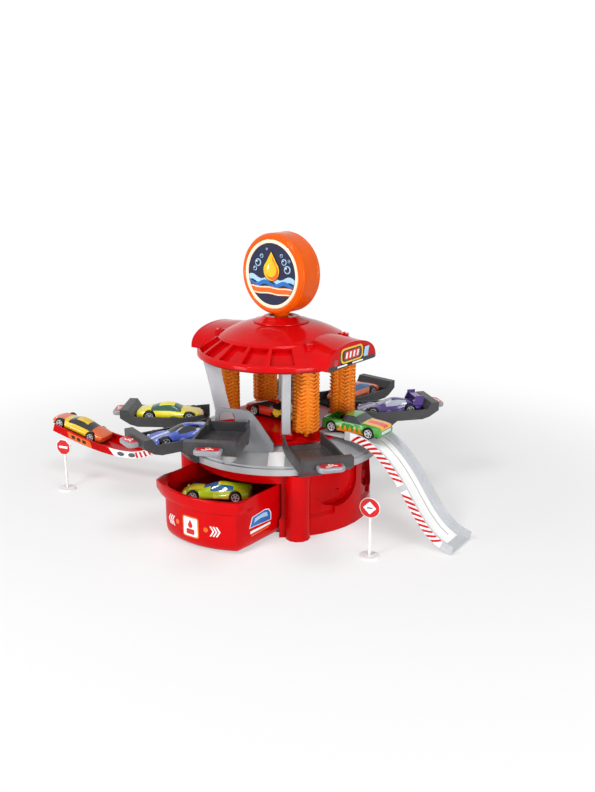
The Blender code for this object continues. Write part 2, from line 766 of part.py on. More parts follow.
def recess_cutter(angle):
    """One window in the roof's skirt, sunk square to the slope."""
    run = Vector((ROOF_R - ROOF_CREASE_R, ROOF_RIM_Z + ROOF_RIM_H - ROOF_CREASE_Z))
    slope = run.normalized()
    out = Vector((-slope.y, slope.x))
    top = Vector((ROOF_CREASE_R, ROOF_CREASE_Z)) + slope * RECESS_START
    end = top + slope * RECESS_LENGTH
    deep = out * RECESS_DEEP
    corners = [top - deep, end - deep, end + deep, top + deep]
    first = math.radians(angle - RECESS_ANGLE / 2)
    return turned([(c.x, c.y) for c in corners], 3, start=first, sweep=math.radians(RECESS_ANGLE))


def gable(side):
    """The arched hood over one end of the bay, from the dome out to its upright front face."""
    back_x, front_x = side * GABLE_BACK_X, side * GABLE_X
    bm = bmesh.new()
    rings = []
    for x, top in ((back_x, GABLE_BACK_TOP_Z), (front_x, GABLE_TOP_Z)):
        ring = []
        for i in range(13):
            turn = math.pi * i / 12
            y = GABLE_HALF_W * math.cos(turn)
            z = GABLE_BASE_Z
            if 0 < i < 12:
                z += (top - GABLE_BASE_Z) * math.sin(turn) ** GABLE_FULLNESS
            ring.append(bm.verts.new((x, y, z)))
        rings.append(ring)
    bm.faces.new(rings[0])
    bm.faces.new(rings[1])
    for i in range(13):
        k = (i + 1) % 13
        bm.faces.new([rings[0][i], rings[0][k], rings[1][k], rings[1][i]])
    return bm


def roof_dome():
    """The red dome with its windowed skirt, two gables and four corner lugs."""
    rim_top = ROOF_RIM_Z + ROOF_RIM_H
    profile = [
        (ROOF_HOLE_R, ROOF_TOP_Z),
        (ROOF_TOP_R, ROOF_TOP_Z),
        (ROOF_SHOULDER_R, ROOF_SHOULDER_Z),
        (ROOF_CREASE_R, ROOF_CREASE_Z),
        (ROOF_R, rim_top),
        (ROOF_R, ROOF_RIM_Z),
        (ROOF_R - ROOF_WALL, ROOF_RIM_Z),
        (ROOF_CREASE_R, ROOF_CREASE_Z - ROOF_SKIRT_WALL - ROOF_WALL),
        (ROOF_SHOULDER_R, ROOF_SHOULDER_Z - ROOF_SKIRT_WALL),
        (ROOF_TOP_R, ROOF_TOP_Z - ROOF_WALL),
        (ROOF_HOLE_R, ROOF_TOP_Z - ROOF_WALL),
    ]
    dome = add_object("roof_dome", turned(profile), "red")
    combine(dome, add_tool("exit_gable_tool", gable(1)), "UNION")
    combine(dome, add_tool("entry_gable_tool", gable(-1)), "UNION")
    lugs = []
    for angle in LUG_ANGLES:
        half = LUG_SIZE / 2
        lug = box((LUG_R - half, -half, rim_top), (LUG_R + half, half, ROOF_CREASE_Z + LUG_H / 2))
        lugs.append(placed(lug, turn=math.radians(angle)))
    combine(dome, add_tool("lugs_tool", merged(*lugs)), "UNION")
    middle = (RECESS_COUNT - 1) / 2
    cutters = []
    for centre in (90, 270):
        for i in range(RECESS_COUNT):
            cutters.append(recess_cutter(centre + (i - middle) * RECESS_PITCH))
    return combine(dome, add_tool("recess_tool", merged(*cutters)), "DIFFERENCE")


def roof_ceiling():
    """The plate inside the roof that holds the tops of the brushes."""
    disc = drum(CEILING_R, CEILING_Z, CEILING_Z + CEILING_T, ROUND_STEPS)
    plate = add_object("roof_ceiling", disc, "dark_red")
    holes = []
    for x in (BRUSH_ENTRY_X, BRUSH_EXIT_X):
        for y in (-BRUSH_Y, BRUSH_Y):
            hole = drum(TRUNNION_R + PIN_GAP, CEILING_Z - CEILING_T, CEILING_Z + 2 * CEILING_T)
            holes.append(placed(hole, (x, y, 0)))
    return combine(plate, add_tool("ceiling_holes_tool", merged(*holes)), "DIFFERENCE")


def sign_collar():
    """The raised collar on top of the dome with the socket for the sign's neck."""
    low = ROOF_TOP_Z + GAP
    bore = NECK_R + PIN_GAP
    profile = [
        (bore, low),
        (bore, low + COLLAR_H - SOCKET_DEEP),
        (SOCKET_R, low + COLLAR_H - SOCKET_DEEP),
        (SOCKET_R + SOCKET_DEEP, low + COLLAR_H),
        (COLLAR_TOP_R, low + COLLAR_H),
        (COLLAR_R, low + COLLAR_EDGE_H),
        (COLLAR_R, low),
    ]
    return add_object("sign_collar", turned(profile, DISC_STEPS), "red")


def sign():
    """The orange drum sign on its neck, with a face disc let into each side."""
    hub = add_empty("sign_axis", (0, 0, SIGN_Z), SIGN_TURN)
    half = SIGN_DEPTH / 2
    floor = half - SIGN_RECESS_DEEP
    step = SIGN_BEZEL_STEP
    profile = [
        (0, floor),
        (SIGN_RECESS_R, floor),
        (SIGN_RECESS_R, half),
        (SIGN_R - step, half),
        (SIGN_R - step / 2, half - step / 2),
        (SIGN_R, half - step),
        (SIGN_R, half - SIGN_BEZEL_W),
        (SIGN_BODY_R, half - SIGN_BEZEL_W),
        (SIGN_BODY_R, -half + SIGN_BEZEL_W),
        (SIGN_R, -half + SIGN_BEZEL_W),
        (SIGN_R, -half + step),
        (SIGN_R - step / 2, -half + step / 2),
        (SIGN_R - step, -half),
        (SIGN_RECESS_R, -half),
        (SIGN_RECESS_R, -floor),
        (0, -floor),
    ]
    body = add_object("sign_drum", across(turned(profile, DISC_STEPS, loop=False)), "orange", hub)
    neck_low = ROOF_TOP_Z + GAP - SIGN_Z
    neck = add_tool("neck_tool", drum(NECK_R, neck_low, -SIGN_BODY_R + SIGN_BEZEL_STEP, SMALL_STEPS), hub)
    combine(body, neck, "UNION")
    radius = SIGN_RECESS_R - GAP
    for name, side in (("sign_face_front", 1), ("sign_face_back", -1)):
        near = side * (floor + GAP)
        far = near + side * SIGN_FACE_T
        low, high = sorted((near, far))
        add_object(name, across(drum(radius, low, high, DISC_STEPS)), "navy", hub)


def brush_fin(angle, z, lean, length):
    """One flat bristle block, rooted in the core and leaning round it."""
    half = BRUSH_FIN_T / 2
    root = BRUSH_CORE_R * BRUSH_ROOT_SHARE
    width = math.pi * BRUSH_CORE_R / BRUSH_FINS * BRUSH_FIN_SHARE
    tip_z = z + lean * BRUSH_FIN_T
    tip = width * BRUSH_TIP_SHARE
    tip_half = half * BRUSH_TIP_SHARE
    low = [(root, -width, z - half), (root, width, z - half), (root, 0, z + half)]
    high = [(length, -tip, tip_z - tip_half), (length, tip, tip_z - tip_half), (length, 0, tip_z + tip_half)]
    return placed(loft([low, high]), turn=angle)


def brush(name, x, y, hand):
    """A moulded roller: a core with trunnions, and rows of bristle blocks in a herringbone."""
    low = BAY_FLOOR_Z + BAY_KERB_H + BRUSH_END_GAP
    high = CEILING_Z - BRUSH_END_GAP
    foot = BAY_FLOOR_Z - BAY_T / 2
    top = CEILING_Z + TRUNNION_LENGTH
    core = turned(
        [
            (0, top),
            (TRUNNION_R, top),
            (TRUNNION_R, high),
            (BRUSH_CORE_R, high),
            (BRUSH_CORE_R, low),
            (TRUNNION_R, low),
            (TRUNNION_R, foot),
            (0, foot),
        ],
        BRUSH_FINS,
        loop=False,
        start=math.pi * hand / BRUSH_FINS,
    )
    axis = add_empty(f"{name}_axis", (x, y, 0))
    made = add_object(name, core, "brush_orange", axis)
    pitch = (high - low) / BRUSH_ROWS
    fins = []
    for row in range(BRUSH_ROWS):
        z = low + (row + 0.5) * pitch
        for i in range(BRUSH_FINS):
            lean = 1 if i % 2 else -1
            turn = math.tau * (i + 0.5 + 0.5 * hand) / BRUSH_FINS
            fins.append(brush_fin(turn, z, lean, BRUSH_R))
    return combine(made, add_tool(f"{name}_fins_tool", merged(*fins), axis), "UNION")


def tray_body():
    """The tray's side view swept across it: floor, walls, raised end block and upswept nose."""
    side = [
        (TRAY_IN_R, TRAY_BOTTOM_Z),
        (TRAY_BLOCK_R - TRAY_BLOCK_CHAMFER, TRAY_BOTTOM_Z),
        (TRAY_NOSE_R, TRAY_BOTTOM_Z + TRAY_FLOOR_T),
        (TRAY_OUT_R, TRAY_NOSE_Z),
        (TRAY_OUT_R, TRAY_BLOCK_TOP_Z),
        (TRAY_NOSE_R + TRAY_WALL, TRAY_BLOCK_TOP_Z),
        (TRAY_NOSE_R + TRAY_WALL - TRAY_BLOCK_CHAMFER, TRAY_WALL_TOP_OUT),
        (TRAY_IN_R + TRAY_HORN_LENGTH, TRAY_WALL_TOP_OUT),
        (TRAY_IN_R, TRAY_WALL_TOP_IN),
    ]
    return side_prism(side, TRAY_HALF_W)


def tray_plan_cut():
    """Two wedges that narrow the tray towards its inner end."""
    wedges = []
    for side in (-1, 1):
        outline = [
            (TRAY_IN_R - TRAY_WALL, side * TRAY_IN_HALF_W),
            (TRAY_IN_R, side * TRAY_IN_HALF_W),
            (TRAY_TAPER_R, side * TRAY_HALF_W),
            (TRAY_TAPER_R, side * 2 * TRAY_HALF_W),
            (TRAY_IN_R - TRAY_WALL, side * 2 * TRAY_HALF_W),
        ]
        wedges.append(prism(outline, 0, 2 * TRAY_BLOCK_TOP_Z))
    return merged(*wedges)


def tray_channel():
    """The space that a car stands in, open at the inner end and at the top."""
    half = TRAY_HALF_W - TRAY_WALL
    inner_half = TRAY_IN_HALF_W - TRAY_WALL
    outline = [
        (TRAY_IN_R - TRAY_WALL, -inner_half),
        (TRAY_IN_R, -inner_half),
        (TRAY_TAPER_R, -half),
        (TRAY_BLOCK_R, -half),
        (TRAY_BLOCK_R, half),
        (TRAY_TAPER_R, half),
        (TRAY_IN_R, inner_half),
        (TRAY_IN_R - TRAY_WALL, inner_half),
    ]
    return prism(outline, TRAY_BOTTOM_Z + TRAY_FLOOR_T, 2 * TRAY_BLOCK_TOP_Z)


def tray_tab():
    """The D-shaped finger tab at the outer end."""
    start = TRAY_OUT_R - TRAY_WALL
    nose = arc((TRAY_OUT_R + TAB_OUT - TAB_HALF_W, 0), TAB_HALF_W, -90, 90, 8)
    outline = [(start, -TAB_HALF_W)] + nose + [(start, TAB_HALF_W)]
    return prism(outline, TAB_TOP_Z - TAB_T, TAB_TOP_Z)


def tray_keel():
    """The bracket under the tray that leans on the deck's rim and holds the tray level."""
    rim = DECK_R + RUN_GAP
    height = TRAY_BOTTOM_Z - KEEL_BOTTOM_Z
    outline = [
        (rim, KEEL_BOTTOM_Z),
        (rim + KEEL_FOOT, KEEL_BOTTOM_Z),
        *[(rim + KEEL_LENGTH * run, KEEL_BOTTOM_Z + height * rise) for run, rise in KEEL_CURVE],
        (rim + KEEL_LENGTH, TRAY_BOTTOM_Z + TRAY_FLOOR_T / 2),
        (rim, TRAY_BOTTOM_Z + TRAY_FLOOR_T / 2),
    ]
    return side_prism(outline, KEEL_HALF_W)


def tray_hinge():
    """The barrel under the inner end with a stub pin at each side."""
    barrel = across(turned(
        [
            (0, HINGE_PIN_HALF),
            (HINGE_PIN_R, HINGE_PIN_HALF),
            (HINGE_PIN_R, HINGE_BARREL_HALF),
            (HINGE_BARREL_R, HINGE_BARREL_HALF),
            (HINGE_BARREL_R, -HINGE_BARREL_HALF),
            (HINGE_PIN_R, -HINGE_BARREL_HALF),
            (HINGE_PIN_R, -HINGE_PIN_HALF),
            (0, -HINGE_PIN_HALF),
        ],
        PIN_STEPS,
        loop=False,
    ))
    return placed(barrel, (HINGE_R, 0, HINGE_Z))


def tray_strap():
    """The web that joins the barrel to the tray's floor."""
    high = (HINGE_R + STRAP_HALF_L, STRAP_HALF_W, TRAY_BOTTOM_Z + TRAY_FLOOR_T / 2)
    return box((HINGE_R - STRAP_HALF_L, -STRAP_HALF_W, HINGE_Z), high)


def tray(name, axis, extra, colour="charcoal"):
    """One hinged car tray, with its origin on the hinge; the extra is what sets it apart."""
    to_hinge = (-HINGE_R, 0, -HINGE_Z)
    made = add_object(name, placed(tray_body(), to_hinge), colour, axis)
    combine(made, add_tool(f"{name}_plan_tool", placed(tray_plan_cut(), to_hinge), axis), "DIFFERENCE")
    combine(made, add_tool(f"{name}_channel_tool", placed(tray_channel(), to_hinge), axis), "DIFFERENCE")
    combine(made, add_tool(f"{name}_tab_tool", placed(tray_tab(), to_hinge), axis), "UNION")
    combine(made, add_tool(f"{name}_extra_tool", placed(extra, to_hinge), axis), "UNION")
    combine(made, add_tool(f"{name}_strap_tool", placed(tray_strap(), to_hinge), axis), "UNION")
    combine(made, add_tool(f"{name}_hinge_tool", placed(tray_hinge(), to_hinge), axis), "UNION")
    return made


def tipper_end():
    """The closed end of the tipping tray: an end wall with a cheek down each side."""
    half = TRAY_IN_HALF_W - GAP
    low = TRAY_BOTTOM_Z + TRAY_FLOOR_T / 2
    cheek = [
        (TRAY_IN_R + GAP, low),
        (TIPPER_SLOPE_R, low),
        (TIPPER_SLOPE_R, TRAY_WALL_TOP_IN - TRAY_WALL),
        (TRAY_IN_R + TIPPER_END_T, TIPPER_END_TOP_Z),
        (TRAY_IN_R + GAP, TIPPER_END_TOP_Z),
    ]
    inner = half - TRAY_WALL
    hollow = box((TRAY_IN_R + TIPPER_END_T, -inner, low), (TIPPER_SLOPE_R, inner, 2 * TIPPER_END_TOP_Z))
    return side_prism(cheek, half), hollow


def tipper_post():
    """The post in the deck's boss, with the fork that holds the tipping tray's hinge."""
    axis = add_empty("tipper_post_axis", polar(TIPPER_AT_R, TIPPER_ANGLE), math.radians(TIPPER_TURN))
    inner = HINGE_BARREL_HALF + PIN_GAP
    fork_low = TIPPER_HINGE_Z - 2 * HINGE_BARREL_R - RUN_GAP
    yoke_low = fork_low - EAR_T
    post = turned(
        [
            (0, fork_low - RUN_GAP),
            (POST_R, fork_low - RUN_GAP),
            (POST_R, BOSS_TOP_Z + GAP),
            (POST_PIN_R, BOSS_TOP_Z + GAP),
            (POST_PIN_R, BOSS_TOP_Z - POST_R),
            (0, BOSS_TOP_Z - POST_R),
        ],
        SMALL_STEPS,
        loop=False,
    )
    made = add_object("tipper_post", post, "charcoal", axis)
    yoke = box((-EAR_R, -inner - EAR_T, yoke_low), (EAR_R, inner + EAR_T, fork_low))
    combine(made, add_tool("yoke_tool", yoke, axis), "UNION")
    sink = fork_low - EAR_T / 2
    ears = merged(ear(-1, sink, TIPPER_HINGE_Z), ear(1, sink, TIPPER_HINGE_Z))
    combine(made, add_tool("fork_tool", ears, axis), "UNION")
    half = inner + EAR_T + PIN_GAP
    bore = placed(across(drum(HINGE_PIN_R + PIN_GAP, -half, half, PIN_STEPS)), up(TIPPER_HINGE_Z))
    combine(made, add_tool("fork_bore_tool", bore, axis), "DIFFERENCE")
    return axis


def tipping_tray(post_axis):
    """The raised tray over the water tub, tipped towards it."""
    axis = add_empty("tipping_tray_axis", up(TIPPER_HINGE_Z), tilt=TIPPER_TIP, parent=post_axis)
    end, hollow = tipper_end()
    made = tray("tipping_tray", axis, end)
    inside = placed(hollow, (-HINGE_R, 0, -HINGE_Z + TRAY_FLOOR_T / 2))
    return combine(made, add_tool("tipping_tray_inside_tool", inside, axis), "DIFFERENCE")


def exit_ramp():
    """The curved slide from the bay's exit to the ground, with a tongue that reaches the bay floor."""
    under = offset_path(RAMP_PATH, -RAMP_T)
    road = list(RAMP_PATH)
    axis = add_empty("exit_ramp_axis", turn=math.radians(RAMP_ANGLE))
    ramp = add_object("exit_ramp", side_prism(road + under[::-1], RAMP_HALF_W), "light_grey", axis)
    tongue = box(
        (RAMP_TONGUE_X, -RAMP_TONGUE_HALF_W, BAY_FLOOR_Z - RAMP_T),
        (RAMP_WIDE_X + RAMP_T, RAMP_TONGUE_HALF_W, BAY_FLOOR_Z),
    )
    combine(ramp, add_tool("tongue_tool", tongue, axis), "UNION")
    top = offset_path(RAMP_PATH, RAMP_WALL_H)
    low = offset_path(RAMP_PATH, -RAMP_T / 2)
    edge = RAMP_HALF_W - RAMP_WALL / 2
    walls = merged(*[
        placed(side_prism(top + low[::-1], RAMP_WALL / 2), (0, side * edge, 0)) for side in (-1, 1)
    ])
    return combine(ramp, add_tool("ramp_walls_tool", walls, axis), "UNION")


def launch_ramp():
    """The dipped launch track on the left, hooked on the deck's rim."""
    under = offset_path(LAUNCH_PATH, -LAUNCH_T)
    turn = math.radians(LAUNCH_ANGLE)
    track = placed(side_prism(list(LAUNCH_PATH) + under[::-1], LAUNCH_HALF_W), turn=turn)
    ramp = add_object("launch_ramp", track, "red")
    top = offset_path(LAUNCH_PATH, LAUNCH_WALL_H)
    low = offset_path(LAUNCH_PATH, -LAUNCH_T / 2)
    edge = LAUNCH_HALF_W - LAUNCH_WALL / 2
    walls = merged(*[
        placed(placed(side_prism(top + low[::-1], LAUNCH_WALL / 2), (0, side * edge, 0)), turn=turn)
        for side in (-1, 1)
    ])
    combine(ramp, add_tool("launch_walls_tool", walls), "UNION")
    rim_top = BASE_H + GAP + DECK_RIM_H
    low = (DECK_STEP_R + RUN_GAP, -HOOK_HALF_W, rim_top + GAP)
    high = (LAUNCH_PATH[0][0] + LAUNCH_T, HOOK_HALF_W, rim_top + GAP + LAUNCH_T)
    return combine(ramp, add_tool("launch_hook_tool", placed(box(low, high), turn=turn)), "UNION")


def road_sign(name, at, sides, plate_turn):
    """A toy road sign: a foot with a socket, and a post with its plate."""
    axis = add_empty(f"{name}_axis", (at[0], at[1], 0), ROAD_SIGN_TURN)
    socket = ROAD_FOOT_T - ROAD_SOCKET_DEEP
    bore = ROAD_POST_R + PIN_GAP
    foot = turned(
        [
            (0, socket),
            (bore, socket),
            (bore, ROAD_FOOT_T),
            (ROAD_FOOT_R * ROAD_FOOT_TOP_SHARE, ROAD_FOOT_T),
            (ROAD_FOOT_R, ROAD_FOOT_T / 2),
            (ROAD_FOOT_R, 0),
            (0, 0),
        ],
        SMALL_STEPS,
        loop=False,
    )
    add_object(f"{name}_foot", foot, "white", axis)
    plate_z = ROAD_SIGN_H - ROAD_PLATE_R
    post = add_object(f"{name}_plate", drum(ROAD_POST_R, socket + GAP, plate_z, PIN_STEPS), "white", axis)
    half = ROAD_PLATE_T / 2
    disc = turned(
        [(0, half), (ROAD_PLATE_R, half), (ROAD_PLATE_R, -half), (0, -half)],
        sides,
        loop=False,
        start=plate_turn,
    )
    plate = placed(across(disc), (0, -ROAD_POST_R, plate_z))
    return combine(post, add_tool(f"{name}_plate_tool", plate, axis), "UNION")


def car_section(x, low, waist, top, half, waist_half, top_half):
    return [
        (x, -half, low),
        (x, half, low),
        (x, waist_half, waist),
        (x, top_half, top),
        (x, -top_half, top),
        (x, -waist_half, waist),
    ]


def loft(sections):
    """A closed body through sections with the same count of points."""
    bm = bmesh.new()
    rings = [[bm.verts.new(p) for p in section] for section in sections]
    bm.faces.new(rings[0])
    bm.faces.new(rings[-1])
    for near, far in zip(rings, rings[1:]):
        for i in range(len(near)):
            k = (i + 1) % len(near)
            bm.faces.new([near[i], near[k], far[k], far[i]])
    return bm


# Each car style lists, from tail to nose: place along the length, waist height, top height, top half width.
CAR_STYLES = {
    "coupe": (
        (-0.50, 0.0085, 0.0110, 0.60),
        (-0.22, 0.0100, 0.0150, 0.62),
        (-0.05, 0.0100, 0.0182, 0.52),
        (0.10, 0.0098, 0.0178, 0.52),
        (0.24, 0.0096, 0.0122, 0.66),
        (0.40, 0.0085, 0.0100, 0.66),
        (0.50, 0.0062, 0.0075, 0.55),
    ),
    "racer": (
        (-0.50, 0.0090, 0.0135, 0.80),
        (-0.25, 0.0100, 0.0130, 0.55),
        (-0.08, 0.0096, 0.0165, 0.36),
        (0.08, 0.0092, 0.0150, 0.36),
        (0.25, 0.0090, 0.0108, 0.50),
        (0.38, 0.0090, 0.0102, 0.66),
        (0.50, 0.0055, 0.0068, 0.50),
    ),
    "pickup": (
        (-0.50, 0.0100, 0.0128, 0.80),
        (-0.10, 0.0104, 0.0130, 0.80),
        (-0.08, 0.0106, 0.0192, 0.60),
        (0.12, 0.0106, 0.0192, 0.60),
        (0.22, 0.0106, 0.0138, 0.74),
        (0.36, 0.0102, 0.0130, 0.76),
        (0.50, 0.0085, 0.0100, 0.70),
    ),
}

# Name, style, colour, the tray that carries it and its heading on that tray in degrees.
TRAY_CARS = (
    ("car_a", "coupe", "yellow", "tray_1", 180),
    ("car_b", "racer", "blue", "tray_2", 0),
    ("car_c", "racer", "purple", "tray_4", 180),
    ("car_d", "coupe", "coral", "tray_5", 180),
)


def car(name, style, colour, axis):
    """One small car on its own empty: a body with arches and bores, and two wheel sets on their axles."""
    sections = []
    for share, waist, top, top_share in CAR_STYLES[style]:
        end = abs(share) > CAR_END_SHARE
        half = CAR_HALF_W * (CAR_END_FOOT_W if end else CAR_FOOT_W)
        waist_half = CAR_HALF_W * (CAR_END_W if end else 1.0)
        top_half = CAR_HALF_W * top_share
        low = CAR_CLEAR * (CAR_END_LIFT if end else 1.0)
        sections.append(car_section(share * CAR_LENGTH, low, waist, top, half, waist_half, top_half))
    body = add_object(name, loft(sections), colour, axis)
    arches = []
    axles = {"rear": WHEEL_SHIFT - WHEELBASE / 2, "front": WHEEL_SHIFT + WHEELBASE / 2}
    pocket = WHEEL_W + ARCH_GAP
    for x in axles.values():
        hub = Vector((x, 0, WHEEL_R))
        for side in (-1, 1):
            low, high = sorted((side * (CAR_HALF_W - pocket), side * 2 * CAR_HALF_W))
            arches.append(placed(across(drum(WHEEL_R + ARCH_GAP, low, high, ARCH_STEPS)), hub))
        half = CAR_HALF_W - pocket / 2
        arches.append(placed(across(drum(AXLE_R + PIN_GAP, -half, half, WHEEL_STEPS // 2)), hub))
    cut = merged(*[arch for arch in arches[0:2] + arches[3:5]])
    combine(body, add_tool(f"{name}_arch_tool", cut, axis), "DIFFERENCE")
    bores = merged(arches[2], arches[5])
    combine(body, add_tool(f"{name}_bore_tool", bores, axis), "DIFFERENCE")
    outer = CAR_HALF_W - GAP
    inner = outer - WHEEL_W
    profile = [
        (0, outer),
        (WHEEL_R, outer),
        (WHEEL_R, inner),
        (AXLE_R, inner),
        (AXLE_R, -inner),
        (WHEEL_R, -inner),
        (WHEEL_R, -outer),
        (0, -outer),
    ]
    for end, x in axles.items():
        hub = add_empty(f"{name}_{end}_axle", (x, 0, WHEEL_R), parent=axis)
        wheels = across(turned(profile, WHEEL_STEPS, loop=False))
        add_object(f"{name}_{end}_wheels", wheels, "tyre", hub)
    return body


def parked_cars(tray_axes):
    """The cars: four on trays and one each in the bay, at its exit, in the tub and on the launch ramp."""
    floor = TRAY_BOTTOM_Z + TRAY_FLOOR_T + GAP
    for name, style, colour, carrier, heading in TRAY_CARS:
        place = (TRAY_CAR_R - HINGE_R, 0, floor - HINGE_Z)
        axis = add_empty(f"{name}_axis", place, math.radians(heading), parent=tray_axes[carrier])
        car(name, style, colour, axis)
    bay = add_empty("car_e_axis", (BAY_CAR_X, 0, BAY_FLOOR_Z + GAP))
    car("car_e", "coupe", "red", bay)
    leaving_at = polar(EXIT_CAR_X, RAMP_ANGLE) + up(BAY_FLOOR_Z + GAP)
    leaving = add_empty("car_f_axis", leaving_at, math.radians(RAMP_ANGLE))
    car("car_f", "pickup", "green", leaving)
    washing = add_empty("car_g_axis", (TUB_CAR_X, TUB_CAR_Y, BASIN_Z + GAP), math.radians(TUB_CAR_TURN))
    car("car_g", "racer", "lime", washing)
    low, high = LAUNCH_PATH[-3], LAUNCH_PATH[-1]
    slope = math.atan2(high[1] - low[1], high[0] - low[0])
    lift = GAP + LAUNCH_CAR_LIFT
    middle = high[0] - LAUNCH_CAR_BACK
    height = high[1] - LAUNCH_CAR_BACK * math.tan(slope) + lift
    place = polar(middle, LAUNCH_ANGLE) + Vector((0, 0, height))
    jumping = add_empty("car_h_axis", place, math.radians(LAUNCH_ANGLE), slope)
    car("car_h", "coupe", "yellow", jumping)


def main():
    clear_scene()
    base_plate()
    base_shell()
    water_tub()
    deck()
    wash_bay_floor()
    for number, angle in enumerate(PILLAR_ANGLES, 1):
        pillar(number, angle)
    portal()
    roof_dome()
    roof_ceiling()
    sign_collar()
    sign()
    brush("brush_1", BRUSH_EXIT_X, -BRUSH_Y, 0)
    brush("brush_2", BRUSH_EXIT_X, BRUSH_Y, 1)
    brush("brush_3", BRUSH_ENTRY_X, -BRUSH_Y, 1)
    brush("brush_4", BRUSH_ENTRY_X, BRUSH_Y, 0)
    axes = {}
    for number, angle in enumerate(TRAY_ANGLES, 1):
        name = f"tray_{number}"
        axes[name] = add_empty(f"{name}_axis", polar(HINGE_R, angle) + up(HINGE_Z), math.radians(angle))
        tray(name, axes[name], tray_keel())
    tipping_tray(tipper_post())
    exit_ramp()
    launch_ramp()
    road_sign("octagon_sign", OCTAGON_SIGN_AT, 8, math.pi / 8)
    road_sign("round_sign", ROUND_SIGN_AT, 24, 0.0)
    parked_cars(axes)


main()
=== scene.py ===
"""The looks of a toy car wash tower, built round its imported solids.

Metres, +Z up. The wash bay runs along X with its exit at +X, and the sign and the water tub face -Y.
Sizes repeat the solids' own, so every piece sits where its solid is.
"""

import math

import bmesh
import bpy
from mathutils import Matrix, Vector


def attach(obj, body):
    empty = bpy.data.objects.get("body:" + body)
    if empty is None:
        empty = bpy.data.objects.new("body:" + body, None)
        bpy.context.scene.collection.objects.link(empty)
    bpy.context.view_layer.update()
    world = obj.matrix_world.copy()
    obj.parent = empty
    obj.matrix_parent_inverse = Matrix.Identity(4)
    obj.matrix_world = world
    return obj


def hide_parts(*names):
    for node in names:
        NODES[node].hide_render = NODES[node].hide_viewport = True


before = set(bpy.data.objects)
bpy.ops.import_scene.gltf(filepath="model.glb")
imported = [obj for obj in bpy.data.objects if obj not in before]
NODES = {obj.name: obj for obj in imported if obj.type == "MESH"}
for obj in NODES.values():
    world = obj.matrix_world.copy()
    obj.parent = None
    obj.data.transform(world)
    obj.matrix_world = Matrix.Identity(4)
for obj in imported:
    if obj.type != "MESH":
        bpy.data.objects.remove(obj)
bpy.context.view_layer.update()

MM = 0.001
GAP = 0.0003
ROUND = 128
PRINT_T = 0.00012

# Base and tub
BASE_H = 0.065
TUB_HALF_W = 0.051
TUB_FRONT_R = 0.0905
TUB_CENTRE_Y = -0.050
TUB_BACK_Y = -0.020
TUB_LIP_OUT = 0.0022
LIP_END_Y = -0.1040
TUB_TOP_Z = 0.052
BASIN_Z = 0.0330
PANEL_Z = 0.022
TUB_PRINT_U = 0.0050
ALCOVE_ANGLES = (-16, 26, 68, 112, 154, 196)
ALCOVE_PITCH = 42
ALCOVE_BACK_R = 0.0826
ALCOVE_HALF_W = 0.026
ALCOVE_STRAIGHT_Z = 0.046
ALCOVE_DROP = 0.021
SKIRT_R = 0.0905

# Deck and bay floor
DECK_R = 0.100
DECK_LOW = BASE_H + GAP
DECK_RIM_H = 0.0062
DECK_STEP = 0.0015
DECK_STEP_R = DECK_R - 0.0035
DECK_INNER_R = 0.064
DECK_INNER_TOP = 0.0840
DECK_T = 0.003
DECK_SEAT_R = 0.079
BAY_R = 0.0683
BAY_FLOOR_Z = 0.0905
BAY_FLAT_R = 0.050
BAY_KERB_R = 0.054
BAY_KERB_Z = 0.0925
BAY_T = 0.0025
BAY_EDGE_Z = 0.0860
PAD_TOP_Z = 0.0937
PAD_OUT = 0.0015
PILLAR_ANGLES = (48, 128, 234, 312)
PILLAR_IN = 0.0505
PILLAR_OUT = 0.0660
PILLAR_LEAN = 0.0125
PILLAR_T = 0.0078

# Roof
ROOF_R = 0.0832
ROOF_RIM_Z = 0.1584
ROOF_RIM_TOP = 0.1620
CREASE_R = 0.060
CREASE_Z = 0.177
ROOF_TOP_R = 0.0290
ROOF_TOP_Z = 0.1892
ROOF_HOLE_R = 0.0180
RECESS_ANGLE = 16.5
RECESS_PITCH = 19.5
GABLE_X = 0.0845
GABLE_BACK_X = 0.040
GABLE_HALF_W = 0.040
GABLE_TOP_Z = 0.1800
GABLE_BACK_TOP_Z = 0.1822
GABLE_BASE_Z = 0.1585
LUG_ANGLES = (28, 152, 208, 332)
LUG_R = 0.063
CEILING_Z = 0.1558

# Sign
COLLAR_LOW = ROOF_TOP_Z + GAP
NECK_R = 0.0068
SIGN_Z = 0.2365
SIGN_R = 0.0388
SIGN_RECESS_R = 0.0334
SIGN_TURN = -2.0

# Brushes
BRUSHES = (("brush_1", 0.053, -0.030, 0), ("brush_2", 0.053, 0.030, 1),
           ("brush_3", -0.046, -0.030, 1), ("brush_4", -0.046, 0.030, 0))
BRUSH_LOW = 0.0951
BRUSH_HIGH = 0.1532
BRUSH_R = 0.0130
BRUSH_CORE_R = 0.0104
BRUSH_RIB_R = 0.0112
BRUSH_RIBS = 6
BRUSH_ROWS = 16
EASE = 0.0006
SPINDLE_R = 0.0020
SPINDLE_LOW = 0.0893
SPINDLE_HIGH = 0.1580

# Trays
TRAY_ANGLES = (214, 251, 323, 51, 85, 121)
HINGE_R = 0.0780
HINGE_Z = 0.0815
TRAY_FLOOR_Z = 0.0867
TAB_TOP_Z = 0.0975
TAB_ROOT = 0.1602
TAB_T = 0.0048
TIPPER_AT_R = 0.0915
TIPPER_ANGLE = 276.4
TIPPER_TURN = 300
TIPPER_HINGE_Z = 0.0965
TIPPER_TIP = math.radians(1.0)

